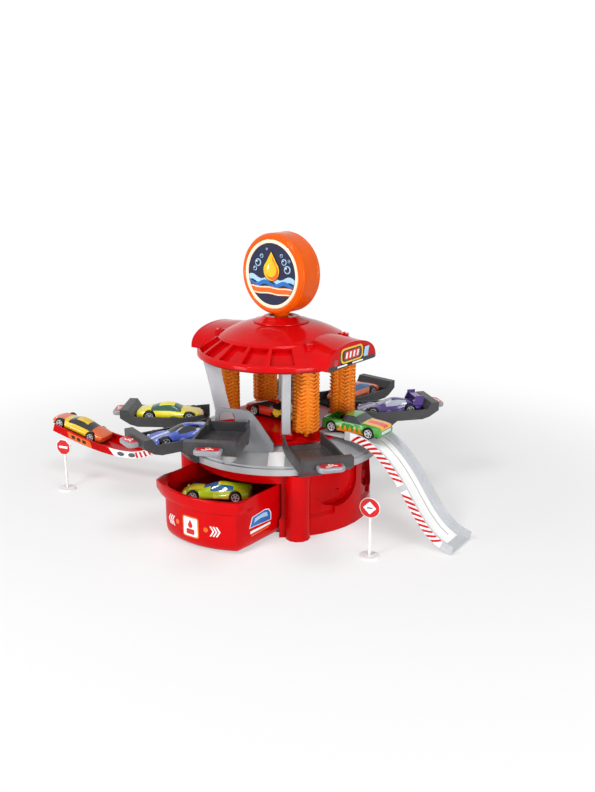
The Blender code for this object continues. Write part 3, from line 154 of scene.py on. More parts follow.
# Ramps
RAMP_ANGLE = 3.5
RAMP_HALF_W = 0.0205
RAMP_T = 0.0022
RAMP_PATH = ((0.0860, 0.0905), (0.0950, 0.0903), (0.1040, 0.0885), (0.1130, 0.0848), (0.1220, 0.0790),
             (0.1310, 0.0710), (0.1400, 0.0610), (0.1490, 0.0490), (0.1580, 0.0360), (0.1670, 0.0240),
             (0.1770, 0.0135), (0.1880, 0.0065), (0.2000, 0.0027))
KERB_LOW = -0.0017
KERB_HIGH = 0.0058
STRIPE_W = 0.0030
STRIPE_LEAN = 0.0070
STRIPE_REACH = STRIPE_W + STRIPE_LEAN
STRIPE_PITCH = 0.0060
LAUNCH_ANGLE = 196
LAUNCH_HALF_W = 0.0190
LAUNCH_T = 0.0024
LAUNCH_PATH = ((0.1018, 0.0728), (0.1090, 0.0690), (0.1180, 0.0610), (0.1280, 0.0510), (0.1390, 0.0420),
               (0.1520, 0.0355), (0.1670, 0.0325), (0.1850, 0.0325), (0.2050, 0.0350), (0.2250, 0.0395),
               (0.2440, 0.0450), (0.2660, 0.0520))

# Road signs
SIGN_POST_H = 0.0575
PLATE_R = 0.0095
ROAD_SIGNS = (("octagon_sign", (-0.202, -0.115), 8, math.pi / 8), ("round_sign", (0.143, -0.0545), 64, 0.0))
ROAD_SIGN_TURN = 15.0

# Cars
CAR_LENGTH = 0.0668
CAR_HALF_W = 0.0140
CAR_UNDER_Z = 0.0022
CAR_END_Z = 0.0030
PANE_Z = 0.0112
PANE_RISE = 0.0026
WHEEL_R = 0.0055
WHEEL_W = 0.0048
AXLES = {"rear": -0.01925, "front": 0.02125}
WING_BACK = -0.0325
CAR_ON_TRAY_R = 0.1132
CAR_H_BACK = 0.0235

# Paint: half the width over which one colour passes into the next
PAINT_EDGE_MM = 0.15

# Floor: the lit part round the tower and the white beyond it. The surround is at 1 where it is seen and
# at SURROUND where it only lights.
FLOOR_NEAR = 0.22
FLOOR_FAR = 0.60
FLOOR_GLOW = 0.52
SURROUND = 0.26

# Camera and lamps: both are turned about the tower to the photograph's side. A lamp is a name, a place,
# the edge of its square in metres, and watts.
VIEW_TURN = 37.5
CAMERA_REACH = 1.087
CAMERA_AT = (0.014533 * CAMERA_REACH, -0.8 * CAMERA_REACH, 0.333933 * CAMERA_REACH)
CAMERA_TIP = 0.28022
SENSOR_MM = 36
FOCAL_SHARE = 902.605 / 792
LAMPS = (
    ("key", (-0.60, -0.72, 0.95), 0.26, 6.9),
    ("fill", (0.55, -0.95, 0.20), 0.40, 5.6),
    ("top", (0.10, -0.30, 1.25), 0.40, 4.0),
    ("left", (-0.80, -0.62, 0.16), 0.30, 2.6),
)
LAMP_AIM = Vector((0, 0, 0.1))


# Finishes

def linear(code):
    """An sRGB hex colour as the linear colour that a shader takes."""
    parts = [int(code[i:i + 2], 16) / 255 for i in (0, 2, 4)]
    return tuple(c / 12.92 if c <= 0.04045 else ((c + 0.055) / 1.055) ** 2.4 for c in parts) + (1.0,)


def add(tree, kind, links=(), sockets=(), **settings):
    """Adds one node: settings are its own, sockets are values, links are (its input, another's output)."""
    made = tree.nodes.new(kind)
    for key, value in settings.items():
        setattr(made, key, value)
    for key, value in dict(sockets).items():
        made.inputs[key].default_value = value
    for key, source in dict(links).items():
        tree.links.new(source, made.inputs[key])
    return made


def finish(name, colour, second, blotch_mm=16.0, rough=0.25, swing=0.06, grain_mm=5.0, relief_mm=0.02,
           ior=1.5, metallic=0.0, coat=0.0, coat_rough=0.03, soft=0.0, pattern=None, fine_mm=0.0, shine=0.30):
    """A surface: two near colours in slow blotches, uneven gloss, and a relief of its grain."""
    made = bpy.data.materials.new(name)
    made.use_nodes = True
    tree = made.node_tree
    shader = tree.nodes["Principled BSDF"]
    place = add(tree, "ShaderNodeTexCoord").outputs["Object"]
    blotch = add(tree, "ShaderNodeTexNoise", {"Vector": place},
                 {"Scale": 1 / (blotch_mm * MM), "Detail": 3.0, "Roughness": 0.55})
    factor = add(tree, "ShaderNodeMapRange", {"Value": blotch.outputs["Fac"]},
                 {"From Min": 0.35, "From Max": 0.65, "To Min": 0.0, "To Max": 1.0})
    shade = add(tree, "ShaderNodeMix", {"Factor": factor.outputs["Result"]},
                {"A": linear(colour), "B": linear(second)}, data_type="RGBA")
    top = shade.outputs["Result"]
    if pattern:
        top = pattern(tree, place, top)
    tree.links.new(top, shader.inputs["Base Color"])
    grain = add(tree, "ShaderNodeTexNoise", {"Vector": place},
                {"Scale": 1 / (grain_mm * MM), "Detail": 4.0, "Roughness": 0.6})
    gloss = add(tree, "ShaderNodeMapRange", {"Value": grain.outputs["Fac"]},
                {"From Min": 0.3, "From Max": 0.7, "To Min": max(rough - swing, 0.02),
                 "To Max": rough + swing})
    tree.links.new(gloss.outputs["Result"], shader.inputs["Roughness"])
    bump = add(tree, "ShaderNodeBump", {"Height": grain.outputs["Fac"]},
               {"Strength": 0.35, "Distance": relief_mm * MM})
    if fine_mm:
        fine = add(tree, "ShaderNodeTexNoise", {"Vector": place},
                   {"Scale": 1 / (fine_mm * MM), "Detail": 2.0, "Roughness": 0.5})
        bump = add(tree, "ShaderNodeBump", {"Height": fine.outputs["Fac"], "Normal": bump.outputs["Normal"]},
                   {"Strength": 0.5, "Distance": fine_mm * MM * 0.08})
    tree.links.new(bump.outputs["Normal"], shader.inputs["Normal"])
    for key, value in (("IOR", ior), ("Metallic", metallic), ("Coat Weight", coat),
                       ("Coat Roughness", coat_rough), ("Subsurface Weight", soft),
                       ("Specular IOR Level", shine)):
        shader.inputs[key].default_value = value
    if soft:
        shader.inputs["Subsurface Radius"].default_value = (0.004, 0.0015, 0.0008)
        shader.inputs["Subsurface Scale"].default_value = 1.0
    return made


def split_at(axis, edges_mm, colours):
    """A paint pattern in bands along one of a car's own axes, with edges in millimetres."""
    def lay(tree, place, under):
        spread = add(tree, "ShaderNodeSeparateXYZ", {"Vector": place})
        for edge, colour in zip(edges_mm, colours):
            mask = add(tree, "ShaderNodeMapRange", {"Value": spread.outputs[axis]},
                       {"From Min": (edge - PAINT_EDGE_MM) * MM, "From Max": (edge + PAINT_EDGE_MM) * MM})
            mixed = add(tree, "ShaderNodeMix", {"Factor": mask.outputs["Result"], "A": under},
                        {"B": linear(colour)}, data_type="RGBA")
            under = mixed.outputs["Result"]
        return under
    return lay


def flames(colour, from_mm, to_mm, wave_mm, low_mm, high_mm):
    """Licks of a second colour that run along the flanks and end in points."""
    def lay(tree, place, under):
        spread = add(tree, "ShaderNodeSeparateXYZ", {"Vector": place})
        wave = add(tree, "ShaderNodeMath", {0: spread.outputs["X"]}, {1: math.tau / (wave_mm * MM)},
                   operation="MULTIPLY")
        crest = add(tree, "ShaderNodeMath", {0: wave.outputs["Value"]}, operation="SINE")
        height = add(tree, "ShaderNodeMapRange", {"Value": crest.outputs["Value"]},
                     {"From Min": -1.0, "From Max": 1.0, "To Min": low_mm * MM, "To Max": high_mm * MM})
        below = add(tree, "ShaderNodeMath", {0: spread.outputs["Z"], 1: height.outputs["Result"]},
                    operation="LESS_THAN")
        after = add(tree, "ShaderNodeMath", {0: spread.outputs["X"]}, {1: from_mm * MM},
                    operation="GREATER_THAN")
        before = add(tree, "ShaderNodeMath", {0: spread.outputs["X"]}, {1: to_mm * MM}, operation="LESS_THAN")
        both = add(tree, "ShaderNodeMath", {0: after.outputs["Value"], 1: before.outputs["Value"]},
                   operation="MULTIPLY")
        mask = add(tree, "ShaderNodeMath", {0: both.outputs["Value"], 1: below.outputs["Value"]},
                   operation="MULTIPLY")
        mixed = add(tree, "ShaderNodeMix", {"Factor": mask.outputs["Value"], "A": under},
                    {"B": linear(colour)}, data_type="RGBA")
        return mixed.outputs["Result"]
    return lay


def hood_patch(colour, from_mm, half_mm, above_mm):
    """A second colour on the middle of the bonnet."""
    def lay(tree, place, under):
        spread = add(tree, "ShaderNodeSeparateXYZ", {"Vector": place})
        side = add(tree, "ShaderNodeMath", {0: spread.outputs["Y"]}, operation="ABSOLUTE")
        near = add(tree, "ShaderNodeMath", {0: side.outputs["Value"]}, {1: half_mm * MM},
                   operation="LESS_THAN")
        ahead = add(tree, "ShaderNodeMath", {0: spread.outputs["X"]}, {1: from_mm * MM},
                    operation="GREATER_THAN")
        high = add(tree, "ShaderNodeMath", {0: spread.outputs["Z"]}, {1: above_mm * MM},
                   operation="GREATER_THAN")
        both = add(tree, "ShaderNodeMath", {0: near.outputs["Value"], 1: ahead.outputs["Value"]},
                   operation="MULTIPLY")
        mask = add(tree, "ShaderNodeMath", {0: both.outputs["Value"], 1: high.outputs["Value"]},
                   operation="MULTIPLY")
        mixed = add(tree, "ShaderNodeMix", {"Factor": mask.outputs["Value"], "A": under},
                    {"B": linear(colour)}, data_type="RGBA")
        return mixed.outputs["Result"]
    return lay


def layered(*patterns):
    """Several patterns, each laid over the one before."""
    def lay(tree, place, under):
        for pattern in patterns:
            under = pattern(tree, place, under)
        return under
    return lay


# Injection-moulded ABS: deep glossy red whose reflections waver a little where the skin shrank.
red_abs = finish("Glossy red moulded ABS", "CC060B", "C4050A", rough=0.14, swing=0.03, grain_mm=7.0,
                 relief_mm=0.03,
                 ior=1.52, shine=0.10)
# The same plastic less polished, its colour painted darker as shade, on the base plate and under the roof.
shaded_red_abs = finish("Satin red moulded ABS with painted shade", "B0080D", "A2070C", rough=0.34, grain_mm=6.0, relief_mm=0.03,
                      ior=1.54, shine=0.12)
# Light and mid grey ABS from finely stoned moulds: soft highlights.
grey_abs = finish("Light grey moulded ABS", "C4C6CA", "BBBDC1", rough=0.36, ior=1.54)
arch_abs = finish("Grey moulded ABS of the arch", "8A8B8F", "808185", rough=0.30, swing=0.05, ior=1.54)
deck_abs = finish("Mid grey moulded ABS", "B6B7BA", "ACADB0", rough=0.38, ior=1.54)
# Charcoal polypropylene from a spark-eroded mould: a fine even grain that spreads the light.
charcoal_pp = finish("Grained charcoal polypropylene", "424244", "3A3A3C", rough=0.42, grain_mm=3.0, ior=1.49,
                     fine_mm=0.7)
# Orange ABS of the sign: glossy, so that its stepped rims catch the light as thin lines.
orange_abs = finish("Glossy orange moulded ABS", "E65E06", "E05806", rough=0.18, swing=0.04, grain_mm=7.0,
                    ior=1.52,
                    shine=0.14)
# Soft vinyl bristle blocks: light goes a little way in, so the thin tips glow.
bristle_vinyl = finish("Soft orange moulded vinyl", "FF8A10", "F8820C", blotch_mm=9.0, rough=0.34, swing=0.08,
                       grain_mm=2.0, relief_mm=0.03, ior=1.52, soft=0.2)
# The same vinyl on the hooks, its colour painted paler as their highlight; it also lets light a little
# further in.
highlit_hook_vinyl = finish("Orange moulded vinyl with painted highlight", "FF9A30", "FC9026", blotch_mm=6.0, rough=0.28, grain_mm=2.0,
                    ior=1.52, soft=0.35)
# Printed vinyl film, laid on the plastic: flat ink under a thin clear coat.
INKS = {}
for ink, colour, second in (
    ("navy", "12163F", "0F1338"), ("cream", "FFF0D2", "FBE9C8"), ("white", "FAFAF9", "F6F6F5"),
    ("ink_orange", "EC6A14", "E4620F"), ("yellow", "F6C414", "F0BA0C"), ("sky", "A9D3EE", "9FCBE8"),
    ("ink_red", "D21419", "C91015"), ("black", "18181A", "141416"), ("blue", "1F6FC0", "1A66B4"),
    ("smoke", "5A5D63", "53565C"),
):
    INKS[ink] = finish(f"Printed vinyl film {ink}", colour, second, blotch_mm=12.0, rough=0.30, swing=0.04,
                       grain_mm=1.2, relief_mm=0.004, coat=0.3, coat_rough=0.12)
# White polystyrene of the road signs' posts and feet.
white_ps = finish("White moulded polystyrene", "EDEDEC", "E6E6E5", rough=0.30, swing=0.05, ior=1.59)
# Finger tabs of pale grey ABS, polished so that their round edges catch the lamps.
tab_abs = finish("Polished pale grey moulded ABS", "92949A", "888A90", blotch_mm=6.0, rough=0.16, swing=0.04,
                 grain_mm=4.0, relief_mm=0.01, ior=1.54, coat=0.4)
# Wheel rims sprayed silver over white plastic, so they stay pale whatever they face, and moulded vinyl tyres.
silver_paint = finish("Silver sprayed wheel rim", "E2E3E6", "D4D6DA", blotch_mm=2.0, rough=0.30, grain_mm=1.0,
                relief_mm=0.01, metallic=0.25)
tyre_vinyl = finish("Matt black moulded vinyl", "1B1B1D", "161618", blotch_mm=4.0, rough=0.55, swing=0.08,
                    grain_mm=0.8, relief_mm=0.03)


def tinted(name, colour, second, rough=0.06):
    """A clear styrene window with a tint, dark because the car's inside is unlit."""
    return finish(name, colour, second, rough=rough, swing=0.02, grain_mm=8.0, relief_mm=0.01, ior=1.59,
                  coat=0.5)


smoked_window = tinted("Smoked clear styrene", "20262C", "1B2026")
green_window = tinted("Green tinted styrene", "1E5A4A", "194F41")
blue_window = tinted("Blue tinted styrene", "2E6DA8", "275F96")
grey_window = tinted("Grey tinted styrene", "C4CBD8", "AEB6C6", rough=0.08)


def enamel(name, colour, second, pattern=None):
    """Sprayed and baked enamel on die-cast zinc, with a clear top coat."""
    return finish(f"{name} baked enamel", colour, second, blotch_mm=10.0, rough=0.24, swing=0.05,
                  grain_mm=1.5, relief_mm=0.006, coat=0.6, coat_rough=0.05, pattern=pattern)


PAINTS = {
    "car_a": enamel("Lemon yellow", "EDE01A", "E4D514", flames("2C7A4A", -20, 12, 22.0, 3.0, 6.4)),
    "car_b": enamel("Mid blue", "4C66C4", "4159B6",
                    layered(hood_patch("C9D4F2", 6, 1.6, 7.0), flames("8FA4E4", -12, 20, 15.0, 3.5, 6.5))),
    "car_c": enamel("Deep purple", "4A2A86", "40237A",
                    layered(flames("8E78C0", -10, 22, 13.0, 3.2, 6.6), hood_patch("B9A8DA", 14, 2.2, 6.0))),
    "car_d": enamel("Coral orange", "F07A4E", "E66E42", flames("F6B08E", -14, 16, 16.0, 3.4, 6.2)),
    "car_e": enamel("Scarlet", "E0341C", "D62C16",
                    layered(split_at("X", (4.0,), ("F2D21A",)), flames("2A2420", 2, 18, 12.0, 3.0, 7.2))),
    "car_f": enamel("Leaf green", "3E9A34", "36902E",
                    layered(flames("F08A24", -16, 18, 5.2, 4.2, 9.4), hood_patch("F2A41E", 13, 9.6, 9.0),
                            hood_patch("DC3A1E", 15, 4.0, 10.6))),
    "car_g": enamel("Lime", "C6DA1C", "BCD016",
                    layered(flames("EEE23A", -24, 2, 18.0, 5.0, 9.0), hood_patch("F4EA40", -4, 5.0, 8.5))),
    "car_h": enamel("Sun yellow", "F2C812", "EABC0C",
                    layered(split_at("X", (19.0,), ("E8641A",)),
                            flames("E8641A", -40, -17, 40.0, 14.0, 20.0))),
}


# Shaping

def spun(degrees):
    """A turn about Z."""
    return Matrix.Rotation(math.radians(degrees), 4, "Z")


def shift(x, y, z):
    return Matrix.Translation((x, y, z))


def turned(profile, steps=ROUND, start=0.0, sweep=math.tau):
    """A body turned about Z from (radius, height) points: a line from axis to axis, or else a ring."""
    bm = bmesh.new()
    cos, sin = math.cos(start), math.sin(start)
    verts = [bm.verts.new((r * cos, r * sin, z)) for r, z in profile]
    whole = abs(sweep - math.tau) < 1e-9
    if whole:
        ring = profile[0][0] or profile[-1][0]
        follow = verts[1:] + verts[:1] if ring else verts[1:]
        geom = verts + [bm.edges.new(pair) for pair in zip(verts, follow)]
    else:
        geom = [bm.faces.new(verts)]
    bmesh.ops.spin(bm, geom=geom, cent=(0, 0, 0), axis=(0, 0, 1), angle=sweep, steps=steps, use_merge=whole)
    bmesh.ops.remove_doubles(bm, verts=bm.verts, dist=1e-7)
    return bm


def prism(outline, low, high):
    """The (x, y) outline as an upright body between two heights."""
    bm = bmesh.new()
    face = bm.faces.new([bm.verts.new((x, y, low)) for x, y in outline])
    top = bmesh.ops.extrude_face_region(bm, geom=[face])
    moved = [v for v in top["geom"] if isinstance(v, bmesh.types.BMVert)]
    bmesh.ops.translate(bm, verts=moved, vec=(0, 0, high - low))
    return bm


def side_prism(outline, half_width):
    """The (x, z) outline as a body from -half_width to half_width along Y."""
    return across(prism(outline, -half_width, half_width))


def bar(u0, v0, u1, v1):
    """The outline of a rectangle between two of its corners."""
    return [(u0, v0), (u1, v0), (u1, v1), (u0, v1)]


def box(low, high):
    return prism(bar(*low[:2], *high[:2]), low[2], high[2])


def drum(radius, low, high, steps=48):
    """A plain upright cylinder."""
    return turned([(0, high), (radius, high), (radius, low), (0, low)], steps)


def across(bm):
    """Tips a body from the Z axis over to lie along Y."""
    bmesh.ops.rotate(bm, verts=bm.verts, cent=(0, 0, 0), matrix=Matrix.Rotation(math.pi / 2, 3, "X"))
    return bm


def placed(bm, location=(0, 0, 0), turn=0.0, tip=0.0):
    move = Matrix.Translation(location) @ Matrix.Rotation(turn, 4, "Z") @ Matrix.Rotation(tip, 4, "Y")
    bmesh.ops.transform(bm, matrix=move, verts=bm.verts)
    return bm


def moved(bm, matrix):
    bmesh.ops.transform(bm, matrix=matrix, verts=bm.verts)
    return bm


def merged(*parts):
    """Several bodies as one mesh; each keeps its own faces."""
    whole = bmesh.new()
    for part in parts:
        mesh = bpy.data.meshes.new("part")
        part.to_mesh(mesh)
        part.free()
        whole.from_mesh(mesh)
        bpy.data.meshes.remove(mesh)
    return whole


def everything(bm):
    return bm.verts[:] + bm.edges[:] + bm.faces[:]


def inked(bm, index):
    """Gives every face the finish with this index."""
    for face in bm.faces:
        face.material_index = index
    return bm


def arc(centre, radius, start, stop, steps):
    angles = [math.radians(start + (stop - start) * i / steps) for i in range(steps + 1)]
    return [(centre[0] + radius * math.cos(a), centre[1] + radius * math.sin(a)) for a in angles]


def polar(radius, angle, height=0.0):
    return Vector((radius * math.cos(math.radians(angle)), radius * math.sin(math.radians(angle)), height))


def smooth_path(points, steps=4):
    """More points along the same path, on a curve that passes through every one of them."""
    fine = []
    last = len(points) - 1
    for i in range(last):
        a, b, c, d = (Vector(points[k]) for k in (max(i - 1, 0), i, i + 1, min(i + 2, last)))
        for t in [k / steps for k in range(steps)]:
            bend, twist = 2 * a - 5 * b + 4 * c - d, 3 * b - a - 3 * c + d
            fine.append(tuple(0.5 * ((2 * b) + (c - a) * t + bend * t ** 2 + twist * t ** 3)))
    return fine + [tuple(points[-1])]


def offset_path(path, distance):
    """The same path moved square to itself; a positive distance moves it to its left."""
    shifted = []
    for i, (x, z) in enumerate(path):
        before, after = path[max(i - 1, 0)], path[min(i + 1, len(path) - 1)]
        dx, dz = after[0] - before[0], after[1] - before[1]
        length = math.hypot(dx, dz)
        shifted.append((x - dz / length * distance, z + dx / length * distance))
    return shifted


def loft(rings):
    """A body through rings of equal numbers of points, closed at both ends."""
    bm = bmesh.new()
    rows = [[bm.verts.new(p) for p in ring] for ring in rings]
    bm.faces.new(rows[0])
    bm.faces.new(rows[-1])
    for near, far in zip(rows, rows[1:]):
        for i in range(len(near)):
            k = (i + 1) % len(near)
            bm.faces.new([near[i], near[k], far[k], far[i]])
    return bm


def settled(obj):
    """Puts an object's modifiers into its mesh."""
    graph = bpy.context.evaluated_depsgraph_get()
    mesh = bpy.data.meshes.new_from_object(obj.evaluated_get(graph))
    old = obj.data
    obj.modifiers.clear()
    obj.data = mesh
    bpy.data.meshes.remove(old)
    return obj


def blank(name, bm, finishes=()):
    """A new object from a body, with its faces turned outwards."""
    bmesh.ops.recalc_face_normals(bm, faces=bm.faces)
    mesh = bpy.data.meshes.new(name)
    bm.to_mesh(mesh)
    bm.free()
    for one in finishes:
        mesh.materials.append(one)
    obj = bpy.data.objects.new(name, mesh)
    bpy.context.scene.collection.objects.link(obj)
    return obj


def joined(bm, tool, operation="UNION"):
    """One body cut with, or grown by, another."""
    body = blank("body", bm)
    other = blank("tool", tool)
    change = body.modifiers.new("Boolean", "BOOLEAN")
    change.operation = operation
    change.solver = "EXACT"
    change.object = other
    settled(body)
    result = bmesh.new()
    result.from_mesh(body.data)
    bpy.data.objects.remove(body)
    bpy.data.objects.remove(other)
    return result


def piece(name, bm, finishes, body, nodes=(), edge=0.0, sharp=38, place=None, segments=2):
    """A finished piece: rounded edges, even shading, riding on its body and standing for its solids."""
    finishes = finishes if isinstance(finishes, (list, tuple)) else [finishes]
    obj = blank(name, bm, finishes)
    if edge:
        rounding = obj.modifiers.new("Round edges", "BEVEL")
        rounding.width = edge
        rounding.segments = segments
        rounding.limit_method = "ANGLE"
        rounding.angle_limit = math.radians(34)
        rounding.use_clamp_overlap = True
        rounding.miter_outer = "MITER_ARC"
        settled(obj)
    obj.data.shade_smooth()
    obj.data.set_sharp_from_angle(angle=math.radians(sharp))
    even = obj.modifiers.new("Even shading", "WEIGHTED_NORMAL")
    even.keep_sharp = True
    if place is not None:
        obj.matrix_world = place
    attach(obj, body)
    if nodes:
        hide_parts(*nodes)


def from_solid(node):
    """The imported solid's own shape, with its flat faces made whole again."""
    bm = bmesh.new()
    bm.from_mesh(NODES[node].data)
    bmesh.ops.remove_doubles(bm, verts=bm.verts, dist=2e-6)
    bmesh.ops.dissolve_limit(bm, angle_limit=math.radians(0.8), verts=bm.verts, edges=bm.edges)
    return bm


def circle(u, v, radius, steps=28, start=0.0, high=None):
    """The points of a circle, or of an oval with its own half height."""
    turns = [math.tau * i / steps + start for i in range(steps)]
    return [(u + radius * math.cos(a), v + (high or radius) * math.sin(a)) for a in turns]


def rounded(u, v, half_w, half_h, radius, lean=0.0):
    """A rectangle with round corners, leaned over by a share of its height."""
    points = []
    for cu, cv, start in ((half_w - radius, half_h - radius, 0), (radius - half_w, half_h - radius, 90),
                          (radius - half_w, radius - half_h, 180), (half_w - radius, radius - half_h, 270)):
        points += arc((u + cu, v + cv), radius, start, start + 90, 6)
    return [(a + (b - v) * lean, b) for a, b in points]


def label(name, shapes, lay, body, grid=0.0025, place=None):
    """Printed film: each shape is (ink, layer, outline); lay puts a flat point on the real surface."""
    inks = []
    whole = bmesh.new()
    for ink, layer, outline in shapes:
        if ink not in inks:
            inks.append(ink)
        bm = bmesh.new()
        bm.faces.new([bm.verts.new((u, v, 0)) for u, v in outline])
        us = [p[0] for p in outline]
        vs = [p[1] for p in outline]
        for low, high, normal in ((min(us), max(us), (1, 0, 0)), (min(vs), max(vs), (0, 1, 0))):
            count = int((high - low) / grid)
            for i in range(1, count + 1):
                spot = Vector(normal) * (low + (high - low) * i / (count + 1))
                bmesh.ops.bisect_plane(bm, geom=everything(bm), plane_co=spot, plane_no=normal)
        top = bmesh.ops.extrude_face_region(bm, geom=bm.faces[:])
        raised = {v for v in top["geom"] if isinstance(v, bmesh.types.BMVert)}
        for vert in bm.verts:
            vert.co = lay(vert.co.x, vert.co.y, PRINT_T * layer if vert in raised else 0.0)
        inked(bm, inks.index(ink))
        whole = merged(whole, bm)
    piece(name, whole, [INKS[ink] for ink in inks], body, place=place)


# Base and tub

def base():
    # The base plate takes the red painted darker as shade.
    piece("base_floor", from_solid("base_plate"), shaded_red_abs, "frame", ["base_plate"], edge=0.0003)
    piece("base_drum", from_solid("base_shell"), red_abs, "frame", ["base_shell"], edge=0.0006)


def alcove(angle):
    """The solid of one D-shaped alcove, laid square to the drum: what has to stay open there."""
    turns = [math.pi * i / 24 for i in range(25)]
    bowl = [(-ALCOVE_HALF_W * math.cos(a), ALCOVE_STRAIGHT_Z - ALCOVE_DROP * math.sin(a)) for a in turns]
    outline = bowl + [(ALCOVE_HALF_W, BASE_H), (-ALCOVE_HALF_W, BASE_H)]
    opening = prism(outline, ALCOVE_BACK_R - 0.002, SKIRT_R + 0.002)
    upright = Matrix(((0, 0, 1, 0), (1, 0, 0, 0), (0, 1, 0, 0), (0, 0, 0, 1)))
    return placed(moved(opening, upright), turn=math.radians(angle))


def alcove_frames():
    """Raised panels flush with the skirt: each frames an alcove's right half and ends in an upright edge.

    A small wedge stands on the back wall of every alcove.
    """
    parts = []
    for angle in ALCOVE_ANGLES:
        section = bar(ALCOVE_BACK_R + 0.002, 0.0170, SKIRT_R - 0.0001, BASE_H - 0.0012)
        panel = turned(section, 16, start=math.radians(angle - 2), sweep=math.radians(25))
        for at in (angle, angle + ALCOVE_PITCH):
            panel = joined(panel, alcove(at), "DIFFERENCE")
        parts.append(panel)
        wedge = prism([(ALCOVE_BACK_R - 0.0006, -0.0022), (0.0850, 0.0010), (ALCOVE_BACK_R - 0.0006, 0.0042)],
                      0.0300, 0.0385)
        parts.append(placed(wedge, turn=math.radians(angle + 3.5)))
    piece("alcove_frames", merged(*parts), red_abs, "frame", edge=0.0005, sharp=30)


# Rings of the tub from its hollow underside up the outside to the rim: height, distance drawn in, and how
# far the ring has come from the straight wall (0) to the overhanging lip (1).
TUB_OUTSIDE = (
    (BASIN_Z - 0.0022, 0.0064, 0), (0.0034, 0.0078, 0), (0.0026, 0.0072, 0), (0.0026, 0.0056, 0),
    (0.0031, 0.0040, 0), (0.0046, 0.0024, 0), (0.0072, 0.0011, 0), (0.0105, 0.0003, 0), (0.0140, 0, 0),
    (0.0392, 0, 0), (0.0402, 0, 0.62), (0.0432, 0, 0.95), (0.0450, 0, 1), (0.0506, 0, 1), (0.0516, 0, 0.84),
    (TUB_TOP_Z, 0, 0.55),
)
# And on from the rim down to the basin's floor: height and distance drawn in.
TUB_INSIDE = (
    (TUB_TOP_Z, 0.0008), (0.0514, 0.0019), (0.0500, 0.0024), (BASIN_Z + 0.0030, 0.0026),
    (BASIN_Z + 0.0010, 0.0032),
    (BASIN_Z, 0.0050),
)


def tub_ring(half, radius, left, right, side_left, side_right, round_off):
    """The tub's outline seen from above: a bowed front between two cut corners, then its straight sides."""
    front = [left + (right - left) * i / 24 for i in range(25)]
    bow = [(x, TUB_CENTRE_Y - math.sqrt(radius ** 2 - x ** 2)) for x in front]
    ends = []
    for side, (x, y), at in ((-1, bow[0], side_left), (1, bow[-1], side_right)):
        start, stop, corner = Vector((side * half, at)), Vector((x, y)), Vector((side * half, y))
        control = (start + stop) / 2 * (1 - round_off) + corner * round_off
        steps = [i / 6 for i in range(6)]
        ends.append([tuple(start * (1 - t) ** 2 + control * 2 * t * (1 - t) + stop * t ** 2) for t in steps])
    straight = [(half, LIP_END_Y), (half, TUB_BACK_Y), (-half, TUB_BACK_Y), (-half, LIP_END_Y)]
    return ends[0] + bow + ends[1][::-1] + straight


def tub():
    def below(inset):
        """The walls under the lip, drawn in: the left corner is cut back more than the right."""
        return tub_ring(TUB_HALF_W - inset, TUB_FRONT_R - inset, -0.0315 + inset, 0.0480 - inset * 0.5,
                        -0.1105 + inset, -0.1120 + inset, 0.22)

    def towards_lip(ring, share, z):
        return [(x + (lip_x - x) * share, y + (lip_y - y) * share, z)
                for (x, y), (lip_x, lip_y) in zip(ring, lip)]

    lip = tub_ring(TUB_HALF_W + TUB_LIP_OUT, TUB_FRONT_R + TUB_LIP_OUT, -0.0485, 0.0485, -0.1175, -0.1175,
                   0.9)
    lip[-4:] = below(0)[-4:]
    rows = [towards_lip(below(inset), share, z) for z, inset, share in TUB_OUTSIDE]
    rows += [[(x, y, z) for x, y in below(inset)] for z, inset in TUB_INSIDE]
    piece("tub_body", loft(rows), red_abs, "tub", ["water_tub"], edge=0.0005, sharp=30)

    def on_front(u, v, h):
        turn = math.radians(270) + u / TUB_FRONT_R
        reach = TUB_FRONT_R + h
        return Vector((reach * math.cos(turn), TUB_CENTRE_Y + reach * math.sin(turn), PANEL_Z + v))

    at = TUB_PRINT_U
    belly = arc((at, 0.0016), 0.0027, 0, -180, 12)
    water_drop = [(at, 0.0072), (at + 0.0026, 0.0022)] + belly + [(at - 0.0026, 0.0022)]
    shapes = [
        ("ink_orange", 1, rounded(at, 0, 0.0094, 0.0102, 0.0026)),
        ("white", 2, rounded(at, 0, 0.0080, 0.0089, 0.0018)),
        ("ink_red", 3, rounded(at, -0.0045, 0.0046, 0.0026, 0.0012)),
        ("ink_red", 3, water_drop),
        ("ink_orange", 1, circle(at - 0.0168, 0.0006, 0.0023)),
        ("ink_orange", 1, circle(at + 0.0168, 0.0006, 0.0023)),
    ]
    for i in range(3):
        for side in (-1, 1):
            at = TUB_PRINT_U + side * (0.0208 + 0.0030 * i)
            tip = at + side * 0.0030
            shapes.append(("white", 1, [(at, 0.0048), (at + side * 0.0015, 0.0048), (tip + side * 0.0015, 0),
                                        (at + side * 0.0015, -0.0048), (at, -0.0048), (tip, 0)]))
    label("tub_front_print", shapes, on_front, "tub")

    def on_side(u, v, h):
        return Vector((TUB_HALF_W + h, -0.0965 + 1.12 * u, 0.0275 + 1.18 * v))

    drop = [(0.0128, -0.0050), (0.0130, 0.0004), (0.0104, 0.0040), (0.0060, 0.0050), (-0.0094, 0.0036),
            (-0.0128, -0.0038)]
    inner = [(0.0096, -0.0010), (0.0084, 0.0026), (0.0040, 0.0034), (-0.0066, 0.0022), (-0.0082, -0.0012),
             (0.0004, 0.0002)]
    swash = [
        ("white", 1, [(u * 1.08, v * 1.12) for u, v in drop]),
        ("blue", 2, drop),
        ("sky", 3, inner),
        ("white", 1, [(0.0128, -0.0072), (-0.0124, -0.0070), (-0.0128, -0.0092), (0.0126, -0.0090)]),
        ("ink_orange", 1, [(0.0112, -0.0100), (-0.0112, -0.0104), (-0.0116, -0.0116), (0.0110, -0.0110)]),
    ]
    label("tub_side_print", swash, on_side, "tub")


# Deck and bay

